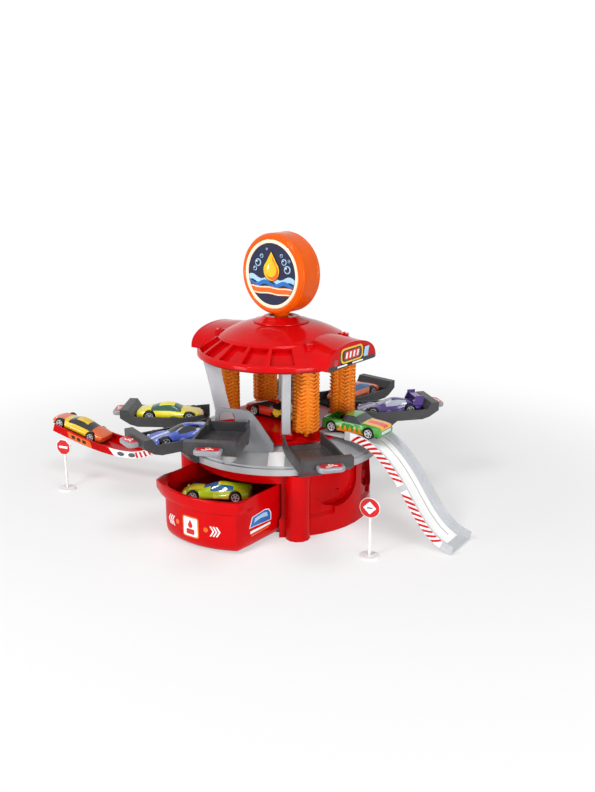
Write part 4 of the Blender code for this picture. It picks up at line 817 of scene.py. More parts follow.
def cone_height(radius):
    """The height of the deck's sloping top at a distance from the middle."""
    rim_top = DECK_LOW + DECK_RIM_H + DECK_STEP
    return rim_top + (DECK_STEP_R - radius) / (DECK_STEP_R - DECK_INNER_R) * (DECK_INNER_TOP - rim_top)


def deck():
    rim_top = DECK_LOW + DECK_RIM_H
    profile = [
        (DECK_R, DECK_LOW), (DECK_R, rim_top), (DECK_STEP_R, rim_top), (DECK_STEP_R, rim_top + DECK_STEP),
        (DECK_INNER_R, DECK_INNER_TOP), (DECK_INNER_R, DECK_INNER_TOP - DECK_T),
        (DECK_SEAT_R, cone_height(DECK_SEAT_R) - DECK_T), (DECK_SEAT_R, DECK_LOW),
    ]
    parts = [turned(profile)]
    for angle in TRAY_ANGLES:
        for side in (-1, 1):
            low = cone_height(HINGE_R) - DECK_T / 2
            ear = side_prism([(0.0026, low)] + arc((0, HINGE_Z), 0.0026, 0, 180, 12) + [(-0.0026, low)],
                             0.0013)
            ear = placed(ear, (0, side * 0.0166, 0))
            parts.append(placed(ear, polar(HINGE_R, angle), math.radians(angle)))
    socket = turned([(0.0065, 0.0820), (0.0065, 0.0710), (0.0024, 0.0710), (0.0024, 0.0820)], 40)
    parts.append(placed(socket, polar(TIPPER_AT_R, TIPPER_ANGLE)))
    piece("deck_ring", merged(*parts), deck_abs, "frame", ["deck"], edge=0.0005)

    def on_cone(u, v, h):
        radius = 0.0855 + v
        return polar(radius, 305.0 + math.degrees(u / radius), cone_height(radius) + h)

    sticker = [("white", 1, bar(-0.0075, -0.0095, 0.0075, 0.0100))]
    label("deck_print", sticker, on_cone, "frame", grid=0.002)


def bay():
    profile = [
        (0, BAY_FLOOR_Z), (BAY_FLAT_R, BAY_FLOOR_Z), (BAY_KERB_R, BAY_KERB_Z), (BAY_R, BAY_EDGE_Z),
        (BAY_R, DECK_INNER_TOP + GAP), (DECK_INNER_R - BAY_T, DECK_INNER_TOP + GAP),
        (BAY_KERB_R, BAY_FLOOR_Z - BAY_T), (0, BAY_FLOOR_Z - BAY_T),
    ]
    floor = turned(profile)
    exit_notch = box((0.0542, -0.0173, BAY_FLOOR_Z - RAMP_T - GAP), (0.14, 0.0173, 0.2))
    entry_notch = box((-0.14, -0.0195, BAY_FLOOR_Z), (-0.0460, 0.0195, 0.2))
    notches = merged(placed(exit_notch, turn=math.radians(RAMP_ANGLE)), entry_notch)
    floor = joined(floor, notches, "DIFFERENCE")
    parts = [floor]
    for angle in PILLAR_ANGLES:
        half = PILLAR_T / 2 + PAD_OUT
        pad = box((PILLAR_IN - PAD_OUT, -half, BAY_FLOOR_Z - 0.001), (PILLAR_OUT + PAD_OUT, half, PAD_TOP_Z))
        parts.append(placed(pad, turn=math.radians(angle)))
    piece("bay_floor", merged(*parts), red_abs, "frame", ["wash_bay_floor"], edge=0.0005)


def pillars():
    head = CEILING_Z - GAP
    foot = PAD_TOP_Z + GAP
    rise = head - foot
    for number, angle in enumerate(PILLAR_ANGLES, 1):
        inner, outer = [], []
        for i in range(13):
            t = i / 12
            bow = 0.0022 * math.sin(math.pi * t)
            flare = 0.0030 * max(0.0, 1 - t * 5) ** 2
            inner.append((PILLAR_IN + PILLAR_LEAN * t + bow * 0.6 - flare * 0.4, foot + rise * t))
            outer.append((PILLAR_OUT + PILLAR_LEAN * t - bow * 0.3, foot + rise * t))
        fin = side_prism(inner + outer[::-1], PILLAR_T / 2)
        rib = offset_path(outer, 0.0004)
        strip = side_prism(rib + offset_path(outer, -0.0003)[::-1], PILLAR_T / 2 - 0.0022)
        fin = placed(merged(fin, strip), turn=math.radians(angle))
        piece(f"pillar_fin_{number}", fin, grey_abs, "frame", [f"pillar_{number}"], edge=0.0008)
    piece("side_arch", from_solid("side_portal"), arch_abs, "frame", ["side_portal"], edge=0.0005)


# Roof and sign

def recess(angle):
    """One window in the roof's skirt, sunk square to the slope, with its sides leaning as the ribs do."""
    run = Vector((ROOF_R - CREASE_R, ROOF_RIM_TOP - CREASE_Z))
    slope = run.normalized()
    out = Vector((-slope.y, slope.x))
    top = Vector((CREASE_R, CREASE_Z)) + slope * 0.0025
    end = top + slope * 0.0215
    deep = out * 0.0048
    corners = [top - deep, end - deep, end + deep, top + deep]
    first = math.radians(angle - RECESS_ANGLE / 2)
    return turned([(c.x, c.y) for c in corners], 10, start=first, sweep=math.radians(RECESS_ANGLE))


def hood(side):
    """The arched hood over one end of the bay, up to its upright front face."""
    def ring(x, top):
        points = []
        for i in range(33):
            turn = math.pi * i / 32
            z = GABLE_BASE_Z
            if 0 < i < 32:
                z += (top - GABLE_BASE_Z) * math.sin(turn) ** 0.8
            points.append((x, GABLE_HALF_W * math.cos(turn), z))
        return points

    stations = [
        (GABLE_BACK_X, GABLE_BACK_TOP_Z), (0.060, 0.1818), (GABLE_X - 0.0042, GABLE_TOP_Z),
        (GABLE_X - 0.0038, GABLE_TOP_Z), (GABLE_X, GABLE_TOP_Z),
    ]
    return loft([ring(side * x, top) for x, top in stations])


def roof():
    crown = [(ROOF_TOP_R, ROOF_TOP_Z), (0.0375, 0.1872), (0.0450, 0.1846), (0.0530, 0.1811), (0.0582, 0.1784)]
    skirt = [(CREASE_R - 0.0006, 0.1779), (CREASE_R + 0.0004, CREASE_Z + 0.0004),
             (CREASE_R + 0.0012, CREASE_Z - 0.0010)]
    lip = [(ROOF_R - 0.0006, ROOF_RIM_TOP + 0.0004), (ROOF_R, ROOF_RIM_TOP - 0.0006), (ROOF_R, ROOF_RIM_Z)]
    inside = [(ROOF_R - 0.0027, ROOF_RIM_Z), (CREASE_R, 0.1678), (0.045, 0.1780), (ROOF_TOP_R, 0.1865),
              (ROOF_HOLE_R, 0.1865)]
    dome = turned([(ROOF_HOLE_R, ROOF_TOP_Z)] + smooth_path(crown, 5) + skirt + lip + inside)
    dome = joined(dome, hood(1))
    dome = joined(dome, hood(-1))
    cutters = [recess(centre + (i - 2) * RECESS_PITCH) for centre in (90, 270) for i in range(5)]
    dome = joined(dome, merged(*cutters), "DIFFERENCE")
    piece("roof_shell", dome, red_abs, "frame", ["roof_dome"], edge=0.00055)
    parts = []
    for angle in LUG_ANGLES:
        lug = [box((LUG_R - 0.0040, -0.0034, 0.1650), (LUG_R + 0.0034, 0.0034, 0.1792))]
        lug.append(box((LUG_R - 0.0078, -0.0016, 0.1690), (LUG_R - 0.0036, 0.0016, 0.1798)))
        for y in (-0.0024, 0.0024):
            stud = turned([(0, 0.1802), (0.0010, 0.1800), (0.0013, 0.1794), (0.0013, 0.1780), (0, 0.1780)],
                          20)
            lug.append(placed(stud, (LUG_R - 0.0012, y, 0)))
        parts.append(placed(merged(*lug), turn=math.radians(angle)))
    piece("roof_lugs", merged(*parts), red_abs, "frame", edge=0.0004)
    # The ceiling under the roof takes the red painted darker as shade.
    piece("roof_soffit", from_solid("roof_ceiling"), shaded_red_abs, "frame", ["roof_ceiling"], edge=0.0003)

    for side, name in ((1, "exit"), (-1, "entry")):
        def on_hood(u, v, h, side=side):
            return Vector((side * (GABLE_X + h), side * u, v - 0.0010))
        low = GABLE_BASE_Z + 0.0004
        foot = [(-0.0385, low), (0.0385, low), (0.0380, low + 0.0042), (-0.0380, low + 0.0042)]
        plate = [
            ("black", 1, foot),
            ("black", 1, rounded(-0.0010, 0.1684, 0.0195, 0.0074, 0.0050)),
            ("yellow", 2, rounded(-0.0010, 0.1697, 0.0182, 0.0071, 0.0052)),
            ("black", 3, rounded(-0.0010, 0.1697, 0.0160, 0.0054, 0.0038)),
            ("ink_red", 4, rounded(-0.0010, 0.1697, 0.0124, 0.0041, 0.0012, 0.25)),
            ("black", 2, rounded(0.0230, 0.1682, 0.0043, 0.0054, 0.0010, 0.25)),
            ("sky", 3, rounded(0.0230, 0.1682, 0.0036, 0.0047, 0.0008, 0.25)),
            ("smoke", 2, rounded(-0.0268, 0.1652, 0.0027, 0.0030, 0.0006)),
            ("ink_red", 3, rounded(-0.0268, 0.1652, 0.0021, 0.0024, 0.0005)),
            ("white", 2, rounded(-0.0165, low + 0.0020, 0.0078, 0.0008, 0.0003)),
            ("white", 2, rounded(0.0085, low + 0.0020, 0.0088, 0.0008, 0.0003)),
        ]
        for i in range(4):
            plate.append(("white", 5, rounded(-0.0100 + 0.0060 * i, 0.1697, 0.0013, 0.0028, 0.0004, 0.25)))
        label(f"hood_print_{name}", plate, on_hood, "frame", grid=0.02)


def collar():
    """The cup that the sign turns in, from its bore over a rounded ring and down a flared foot."""
    rise = [
        (NECK_R + GAP, 0), (NECK_R + GAP, 0.0040), (0.0112, 0.0040), (0.0122, 0.0050), (0.0138, 0.0055),
        (0.0162, 0.0055), (0.0174, 0.0051), (0.0196, 0.0036), (0.0232, 0.0021), (0.0268, 0.0014),
        (0.0274, 0.0009), (0.0275, 0),
    ]
    piece("sign_cup", turned([(r, COLLAR_LOW + z) for r, z in rise], 96), red_abs, "frame", ["sign_collar"],
          sharp=30)


# Bubbles on the sign's faces: across, up, radius.
BUBBLES = (
    (-0.0168, 0.0102, 0.0036), (-0.0208, 0.0042, 0.0022), (-0.0122, 0.0168, 0.0020), (0.0158, 0.0126, 0.0030),
    (0.0198, 0.0058, 0.0038), (0.0126, 0.0186, 0.0016), (0.0218, 0.0140, 0.0014), (-0.0056, 0.0236, 0.0011),
)


def sign():
    place = shift(0, 0, SIGN_Z) @ spun(SIGN_TURN)
    half_profile = [
        (0, 0.0126), (SIGN_RECESS_R, 0.0126), (SIGN_RECESS_R, 0.0147), (0.0338, 0.0153), (0.0344, 0.0155),
        (0.0354, 0.0155), (0.0358, 0.0152), (0.0360, 0.0143), (0.0364, 0.0139), (0.0371, 0.0137),
        (0.0375, 0.0132), (0.0377, 0.0122), (0.0381, 0.0117), (0.0386, 0.0113), (SIGN_R, 0.0106),
        (SIGN_R, 0.0088), (0.0385, 0.0084), (0.0385, 0.0079), (SIGN_R - 0.0001, 0.0074),
        (SIGN_R - 0.0001, 0.0020),
    ]
    profile = half_profile + [(r, -y) for r, y in half_profile[::-1]]
    body = across(turned(profile, ROUND))
    low = COLLAR_LOW - SIGN_Z
    neck = turned([(0, low), (NECK_R, low), (NECK_R, -0.0420), (0.0074, -0.0410), (0.0080, -0.0395),
                   (0.0085, -0.0360), (0, -0.0360)], 48)
    piece("sign_barrel", merged(body, neck), orange_abs, "sign", ["sign_drum"], place=place,
          sharp=30)
    for name, side in (("front", -1), ("back", 1)):
        ring = [(0.0296, 0.0128), (0.0296, 0.0144), (0.0302, 0.0150), (0.0322, 0.0150), (0.0331, 0.0144),
                (0.0331, 0.0128)]
        plate = [(0, 0.0128), (0.0294, 0.0128), (0.0294, 0.0139), (0, 0.0139)]
        hoop = inked(turned([(r, -side * y) for r, y in ring], 96), 0)
        disc = inked(turned([(r, -side * y) for r, y in plate], 96), 1)
        face = [INKS["cream"], INKS["navy"]]
        piece(f"sign_plate_{name}", across(merged(hoop, disc)), face, "sign", [f"sign_face_{name}"],
              place=place,
              sharp=30)

        def on_face(u, v, h, side=side):
            return Vector((-side * u, side * (0.0139 + h), v))

        def inside(points, limit=0.0290):
            kept = []
            for u, v in points:
                reach = math.hypot(u, v)
                grow = min(1.0, limit / reach) if reach else 1.0
                kept.append((u * grow, v * grow))
            return kept

        def wave(level, swell, depth, phase):
            top = []
            for i in range(41):
                swing = math.sin(phase + i / 40 * math.tau * 2.5)
                top.append((-0.0296 + 0.0592 * i / 40, level + swell * swing))
            base = [(u, v - depth) for u, v in top[::-1]]
            return inside(top + base)

        drop = [(0.0, 0.0215)]
        for i in range(1, 24):
            turn = math.radians(62 - 304 * i / 24)
            drop.append((0.0098 * math.cos(turn), 0.0036 + 0.0098 * math.sin(turn)))
        core = [(u * 0.80, 0.0036 + (v - 0.0036) * 0.80) for u, v in drop]
        shapes = [
            ("sky", 1, wave(-0.0030, 0.0020, 0.0052, 0.4)),
            ("blue", 2, wave(-0.0074, 0.0018, 0.0040, 2.2)),
            ("ink_orange", 3, wave(-0.0118, 0.0004, 0.0076, 1.0)),
            ("cream", 4, wave(-0.0124, 0.0004, 0.0010, 1.0)),
            ("cream", 4, wave(-0.0180, 0.0004, 0.0010, 1.0)),
            ("black", 4, [(u * 1.08, 0.0036 + (v - 0.0036) * 1.08) for u, v in drop]),
            ("yellow", 5, drop),
            ("ink_orange", 6, [(u + 0.0012, v - 0.0014) for u, v in core]),
            ("yellow", 7, [(u * 0.9 - 0.0006, v * 0.9 + 0.0012) for u, v in core]),
            ("white", 8, [(-0.0050, 0.0052), (-0.0036, 0.0092), (-0.0026, 0.0090), (-0.0036, 0.0040)]),
        ]
        for u, v, r in BUBBLES:
            shine = circle(u - r * 0.32, v + r * 0.32, r * 0.22, 14)
            shapes += [("sky", 5, circle(u, v, r)), ("navy", 6, circle(u, v, r * 0.74)), ("white", 7, shine)]
        label(f"sign_print_{name}", shapes, on_face, "sign", grid=0.03, place=place)


# Brushes

# A bristle hook from its root to its tip: radius, half width, half height, rise.
HOOK = (
    (BRUSH_CORE_R - 0.0014, 0.0032, 0.0013, 0.0), (BRUSH_CORE_R + 0.0008, 0.0030, 0.0011, 0.0001),
    (BRUSH_R - 0.0009, 0.0025, 0.0008, 0.0006), (BRUSH_R - 0.0002, 0.0015, 0.0005, 0.0012),
)
HOOK_FALL = 0.42


def hook(side):
    """One bristle hook beside a rib: it falls away from the rib, thins towards its tip and curls up there."""
    return loft([[(r, y, z + rise - y * side * HOOK_FALL) for y, z in bar(-w, -t, w, t)]
                 for r, w, t, rise in HOOK])


def brushes():
    pitch = (BRUSH_HIGH - BRUSH_LOW) / BRUSH_ROWS
    for name, x, y, hand in BRUSHES:
        core = turned([
            (0, SPINDLE_HIGH), (SPINDLE_R, SPINDLE_HIGH), (SPINDLE_R, BRUSH_HIGH),
            (BRUSH_CORE_R - EASE, BRUSH_HIGH), (BRUSH_CORE_R, BRUSH_HIGH - EASE),
            (BRUSH_CORE_R, BRUSH_LOW + EASE), (BRUSH_CORE_R - EASE, BRUSH_LOW),
            (SPINDLE_R, BRUSH_LOW), (SPINDLE_R, SPINDLE_LOW), (0, SPINDLE_LOW),
        ], 60)
        parts = [core]
        for rib in range(BRUSH_RIBS):
            turn = math.tau * (rib + 0.5 * hand) / BRUSH_RIBS + 0.25
            root = BRUSH_CORE_R - 0.001
            strip = arc((0, 0), BRUSH_RIB_R, -9, 9, 6) + [(root, 0.0019), (root, -0.0019)]
            parts.append(placed(prism(strip, BRUSH_LOW, BRUSH_HIGH), turn=turn))
            for side in (-1, 1):
                for row in range(BRUSH_ROWS):
                    z = BRUSH_LOW + (row + 0.62) * pitch
                    parts.append(inked(placed(hook(side), (0, 0, z), turn + side * math.radians(18.5)), 1))
        brush = placed(merged(*parts), (x, y, 0))
        # The hooks take the vinyl painted paler as their highlight; the core and ribs take the plain vinyl.
        piece(f"{name}_bristles", brush, [bristle_vinyl, highlit_hook_vinyl], name, [name],
              sharp=50)


# Trays

def tray_body(name, place):
    """The tray without its tab, which is a piece of its own."""
    bm = from_solid(name)
    edge = place @ Vector((TAB_ROOT, 0, 0))
    out = (place.to_3x3() @ Vector((1, 0, 0))).normalized()
    bmesh.ops.bisect_plane(bm, geom=everything(bm), plane_co=edge, plane_no=out, clear_outer=True)
    bmesh.ops.holes_fill(bm, edges=[e for e in bm.edges if e.is_boundary])
    piece(f"{name}_body", bm, charcoal_pp, name, [name], edge=0.0005)


def tray_trim(name, place):
    """A tray's finger tab with its print, and the raised lines along and across its floor."""
    nose = arc((0.1658, -0.0070), 0.0050, -90, 0, 8) + arc((0.1658, 0.0070), 0.0050, 0, 90, 8)
    root = TAB_ROOT - 0.0004
    tab = prism([(root, -0.0120)] + nose + [(root, 0.0120)], TAB_TOP_Z - TAB_T, TAB_TOP_Z)
    piece(f"{name}_tab", moved(tab, place), tab_abs, name, edge=0.0016, segments=4)

    def on_tab(u, v, h):
        return place @ Vector((u, v, TAB_TOP_Z + h))

    corners = arc((0.1654, -0.0058), 0.0040, -90, 0, 8) + arc((0.1654, 0.0058), 0.0040, 0, 90, 8)
    sticker = [(0.1606, -0.0098)] + corners + [(0.1606, 0.0098)]
    wave = [(0.1656 + 0.0012 * math.sin(i / 12 * math.tau), -0.0052 + 0.0104 * i / 12) for i in range(13)]
    swirl = wave + [(u + 0.0014, v) for u, v in wave[::-1]]
    shapes = [("ink_red", 1, sticker), ("white", 2, circle(0.1634, 0, 0.0024)),
              ("ink_orange", 3, circle(0.1634, 0, 0.0014)), ("white", 2, swirl)]
    label(f"{name}_tab_print", shapes, on_tab, name, grid=0.02)
    bars = []
    low, high = TRAY_FLOOR_Z - 0.0003, TRAY_FLOOR_Z + 0.00022
    for y in (-0.0150, -0.0118, -0.0050, -0.0018, 0.0018, 0.0050, 0.0118, 0.0150):
        bars.append(box((0.0800, y - 0.0005, low), (0.1440, y + 0.0005, high)))
    for x in (0.0900, 0.1440):
        bars.append(box((x, -0.0180, low), (x + 0.0012, 0.0180, high)))
    piece(f"{name}_tread", moved(merged(*bars), place), charcoal_pp, name)


def trays():
    for number, angle in enumerate(TRAY_ANGLES, 1):
        name = f"tray_{number}"
        place = spun(angle)
        tray_body(name, place)
        tray_trim(name, place)
    hinge = polar(TIPPER_AT_R, TIPPER_ANGLE, TIPPER_HINGE_Z)
    lean = Matrix.Rotation(-TIPPER_TIP, 4, "Y")
    place = shift(*hinge) @ spun(TIPPER_TURN) @ lean @ shift(-HINGE_R, 0, -HINGE_Z)
    tray_body("tipping_tray", place)
    tray_trim("tipping_tray", place)
    piece("tipper_fork", from_solid("tipper_post"), charcoal_pp, "frame", ["tipper_post"], edge=0.0004)


# Ramps

def chute(path, half_w, thick, wall_t, wall_h):
    """A track swept along a path with an upright wall down each side."""
    section = [(-half_w, -thick), (half_w, -thick), (half_w, wall_h), (half_w - wall_t, wall_h),
               (half_w - wall_t, 0), (wall_t - half_w, 0), (wall_t - half_w, wall_h), (-half_w, wall_h)]
    lines = [(y, offset_path(path, height)) for y, height in section]
    return loft([[(line[i][0], y, line[i][1]) for y, line in lines] for i in range(len(path))])


def path_lay(path, turn, side_y=0.0):
    """Lays a label along a path: u runs along it, v across it, for a floor; or up it, for a wall."""
    lengths = [0.0]
    for near, far in zip(path, path[1:]):
        lengths.append(lengths[-1] + math.dist(near, far))
    spin = Matrix.Rotation(turn, 4, "Z")

    def spot(u, lift):
        for i in range(len(path) - 1):
            if u <= lengths[i + 1] or i == len(path) - 2:
                t = (u - lengths[i]) / (lengths[i + 1] - lengths[i])
                a, b = Vector(path[i]), Vector(path[i + 1])
                at = a.lerp(b, t)
                run = (b - a).normalized()
                return at.x - run.y * lift, at.y + run.x * lift

    def on_floor(u, v, h):
        x, z = spot(u, h)
        return spin @ Vector((x, v, z))

    def on_wall(u, v, h):
        x, z = spot(u, v)
        return spin @ Vector((x, side_y + math.copysign(h, side_y), z))

    return lengths[-1], on_floor, on_wall


def ramps():
    turn = math.radians(RAMP_ANGLE)
    path = smooth_path(RAMP_PATH)
    track = chute(path, RAMP_HALF_W, RAMP_T, 0.0020, 0.0062)
    tongue = box((0.0545, -0.0170, BAY_FLOOR_Z - RAMP_T), (0.0880, 0.0170, BAY_FLOOR_Z))
    piece("exit_slide", placed(merged(track, tongue), turn=turn), grey_abs, "frame", ["exit_ramp"],
          edge=0.0004)
    reach, on_floor, _ = path_lay(path, turn)
    road = [("white", 1, bar(0.018, -0.0100, reach - 0.010, 0.0125)),
            ("smoke", 2, bar(0.026, 0.0036, reach - 0.016, 0.0042))]
    label("slide_road_print", road, on_floor, "frame")
    for side, name in ((-1, "near"), (1, "far")):
        _, _, on_wall = path_lay(path, turn, side * RAMP_HALF_W)
        shapes = []
        for first, last in ((0.006, 0.072), (0.078, reach - 0.012)):
            shapes.append(("white", 1, bar(first, KERB_LOW, last, KERB_HIGH)))
            u = first + 0.0012
            while u + STRIPE_REACH < last:
                low = [(u, KERB_LOW), (u + STRIPE_W, KERB_LOW)]
                high = [(u + STRIPE_REACH, KERB_HIGH), (u + STRIPE_LEAN, KERB_HIGH)]
                shapes.append(("ink_red", 2, low + high))
                u += STRIPE_PITCH
        label(f"slide_kerb_print_{name}", shapes, on_wall, "frame")
    turn = math.radians(LAUNCH_ANGLE)
    path = smooth_path(LAUNCH_PATH)
    track = chute(path, LAUNCH_HALF_W, LAUNCH_T, 0.0022, 0.0060)
    rim_top = DECK_LOW + DECK_RIM_H + GAP
    catch = box((0.0970, -0.0100, rim_top), (0.1042, 0.0100, rim_top + LAUNCH_T))
    piece("launch_track", placed(merged(track, catch), turn=turn), red_abs, "frame", ["launch_ramp"],
          edge=0.0004)
    for side, name in ((1, "near"), (-1, "far")):
        reach, _, on_wall = path_lay(path, turn, side * LAUNCH_HALF_W)
        shapes = [("white", 1, [(0.004, -0.0022), (0.100, -0.0022), (0.108, 0.0056), (0.004, 0.0056)]),
                  ("ink_orange", 1, [(0.128, -0.0018), (0.158, -0.0018), (0.162, 0.0048), (0.132, 0.0048)])]
        u = 0.014
        while u < 0.070:
            stripe = [(u, -0.0014), (u + 0.0026, -0.0014), (u + 0.0034, 0.0048), (u + 0.0008, 0.0048)]
            shapes.append(("ink_red", 2, stripe))
            u += 0.0056
        for u in (0.078, 0.092):
            shapes.append(("smoke", 2, circle(u, 0.0016, 0.0044, 24, high=0.0024)))
        for i in range(3):
            shapes.append(("black", 2, rounded(0.139 + 0.0072 * i, 0.0015, 0.0022, 0.0017, 0.0006, 0.3)))
        label(f"launch_print_{name}", shapes, on_wall, "frame")


# Road signs

def road_signs():
    for name, at, sides, spin in ROAD_SIGNS:
        place = shift(*at, 0) @ spun(ROAD_SIGN_TURN)
        foot = turned([(0, 0.0006), (0.0016, 0.0006), (0.0016, 0.0022), (0.0078, 0.0021), (0.0088, 0.0018),
                       (0.0094, 0.0012), (0.0095, 0.0006), (0.0093, 0), (0, 0)], 48)
        piece(f"{name}_base", foot, white_ps, name, [f"{name}_foot"], place=place)
        z = SIGN_POST_H - PLATE_R
        post = drum(0.0013, 0.0009, z, 24)
        rim = PLATE_R - 0.0003
        edge = [(0, 0.0007), (rim, 0.0007), (PLATE_R, 0.0004), (PLATE_R, -0.0004), (rim, -0.0007),
                (0, -0.0007)]
        disc = across(turned(edge, sides, start=spin))
        board = merged(post, placed(disc, (0, -0.0013, z)))
        piece(f"{name}_board", board, white_ps, name, [f"{name}_plate"], place=place, sharp=30)

        def on_board(u, v, h):
            return Vector((u, -0.0020 - h, z + v))

        if sides == 8:
            shapes = [("ink_red", 1, circle(0, 0, 0.0083, 8, spin)),
                      ("white", 2, rounded(0, 0, 0.0052, 0.0012, 0.0003))]
        else:
            shapes = [("ink_red", 1, circle(0, 0, 0.0089, 48)), ("white", 2, circle(0, 0, 0.0060, 4)),
                      ("smoke", 3, rounded(0, 0, 0.0026, 0.0006, 0.0003))]
        label(f"{name}_print", shapes, on_board, name, grid=0.02, place=place)


# Cars

# Stations from tail to nose: the place along the length as a share of it; half width at the sill and at the
# waist as shares of the whole; height of the waist and of the shoulder in mm; half width at the shoulder;
# height of the roof in mm; half width at the roof.
SHAPES = {
    "coupe": (
        (-0.500, 0.70, 0.78, 6.5, 8.6, 0.72, 9.4, 0.55),
        (-0.470, 0.86, 0.93, 7.0, 10.0, 0.80, 10.6, 0.60),
        (-0.380, 0.93, 1.00, 7.6, 11.4, 0.82, 11.8, 0.56),
        (-0.270, 0.93, 1.00, 7.6, 11.4, 0.78, 13.4, 0.52),
        (-0.150, 0.90, 0.94, 7.0, 10.6, 0.74, 16.2, 0.50),
        (-0.030, 0.90, 0.93, 7.0, 10.4, 0.74, 17.6, 0.48),
        (0.080, 0.90, 0.94, 7.0, 10.4, 0.74, 16.6, 0.46),
        (0.190, 0.92, 0.97, 7.2, 10.4, 0.78, 12.0, 0.56),
        (0.280, 0.93, 1.00, 7.4, 10.8, 0.80, 10.6, 0.54),
        (0.380, 0.93, 1.00, 7.2, 10.2, 0.78, 9.8, 0.52),
        (0.465, 0.84, 0.90, 5.8, 7.8, 0.68, 8.2, 0.44),
        (0.500, 0.66, 0.70, 5.0, 6.2, 0.56, 6.6, 0.36),
    ),
    "racer": (
        (-0.500, 0.74, 0.82, 6.4, 9.0, 0.76, 9.6, 0.58),
        (-0.460, 0.90, 0.97, 7.2, 10.8, 0.84, 11.2, 0.56),
        (-0.360, 0.94, 1.00, 7.8, 12.2, 0.80, 12.6, 0.42),
        (-0.250, 0.92, 1.00, 7.6, 11.8, 0.70, 14.2, 0.36),
        (-0.140, 0.86, 0.88, 6.4, 9.4, 0.58, 16.0, 0.34),
        (-0.030, 0.84, 0.86, 6.0, 8.6, 0.54, 16.2, 0.34),
        (0.080, 0.86, 0.88, 6.2, 8.8, 0.54, 13.8, 0.34),
        (0.180, 0.90, 0.96, 7.0, 10.0, 0.60, 10.6, 0.34),
        (0.280, 0.94, 1.00, 7.4, 11.2, 0.72, 9.8, 0.36),
        (0.380, 0.94, 1.00, 7.0, 10.2, 0.74, 8.8, 0.38),
        (0.465, 0.84, 0.90, 5.2, 7.0, 0.64, 7.0, 0.36),
        (0.500, 0.62, 0.66, 4.2, 5.2, 0.50, 5.6, 0.30),
    ),
    "pickup": (
        (-0.445, 0.88, 0.92, 6.6, 11.8, 0.88, 12.6, 0.84),
        (-0.430, 0.94, 0.97, 7.0, 12.2, 0.92, 13.0, 0.86),
        (-0.360, 0.94, 1.00, 7.6, 12.4, 0.94, 13.1, 0.86),
        (-0.225, 0.94, 1.00, 7.6, 12.4, 0.94, 13.1, 0.86),
        (-0.120, 0.92, 0.95, 7.2, 12.4, 0.90, 13.1, 0.84),
        (-0.095, 0.92, 0.95, 7.2, 12.4, 0.90, 18.6, 0.68),
        (0.030, 0.92, 0.95, 7.2, 12.4, 0.90, 19.0, 0.66),
        (0.085, 0.92, 0.95, 7.2, 12.4, 0.90, 18.4, 0.66),
        (0.190, 0.93, 0.97, 7.4, 12.4, 0.88, 13.6, 0.78),
        (0.250, 0.94, 1.00, 7.6, 12.2, 0.88, 13.3, 0.72),
        (0.400, 0.94, 1.00, 7.6, 11.8, 0.88, 12.7, 0.70),
        (0.475, 0.93, 0.97, 7.2, 11.0, 0.86, 11.9, 0.68),
        (0.498, 0.90, 0.92, 6.8, 9.6, 0.84, 10.6, 0.66),
    ),
}
# The stations between which the windows lie, by their place in the lists above.
GLASS = {"coupe": (3, 8), "racer": (3, 7), "pickup": (4, 8)}


# Small parts of each style: two corners of a block, its lift, its tip, and the slot of its finish
# (2 black vinyl, 3 silver).
TRIM = {
    "coupe": (
        ((0.0300, -0.0085, 0.0028), (0.0328, 0.0085, 0.0042), 0, 0, 2),
        ((-0.0230, -0.0052, -0.0004), (-0.0150, 0.0052, 0.0006), 0.0131, -0.12, 2),
    ),
    "racer": (
        ((0.0080, -0.0030, -0.0010), (0.0170, 0.0030, 0.0012), 0.0104, 0.10, 2),
    ),
    "pickup": (
        ((0.0316, -0.0088, 0.0052), (0.0334, 0.0088, 0.0080), 0, 0, 3),
        ((-0.0302, -0.0125, 0.0038), (-0.0290, 0.0125, 0.0058), 0, 0, 3),
    ),
}


def car_body(style):
    """The shell of one style through its stations, with its panes marked as glass."""
    rows = []
    stations = SHAPES[style]
    for share, sill, waist, waist_z, shoulder_z, shoulder, roof_z, roof in stations:
        x = share * CAR_LENGTH
        w = CAR_HALF_W
        low = CAR_UNDER_Z if abs(share) < 0.45 else CAR_END_Z
        half = [(w * sill * 0.9, low), (w * sill, low + 0.0010), (w * waist, waist_z * MM),
                (w * shoulder, shoulder_z * MM), (w * roof, roof_z * MM)]
        crown = (roof_z + 0.35) * MM
        ring = [(x, y, z) for y, z in half] + [(x, 0.0, crown)] + [(x, -y, z) for y, z in half[::-1]]
        rows.append(ring)
    bm = loft(rows)
    first, last = GLASS[style]
    bm.faces.ensure_lookup_table()
    for face in bm.faces:
        spot = face.calc_center_median()
        inside = stations[first][0] * CAR_LENGTH < spot.x < stations[last][0] * CAR_LENGTH
        zs = [v.co.z for v in face.verts]
        flank = abs(spot.y) > CAR_HALF_W * 0.50
        steep = max(zs) - min(zs) > PANE_RISE
        if inside and len(zs) == 4 and spot.z > PANE_Z and (flank or steep):
            face.material_index = 1
    return bm


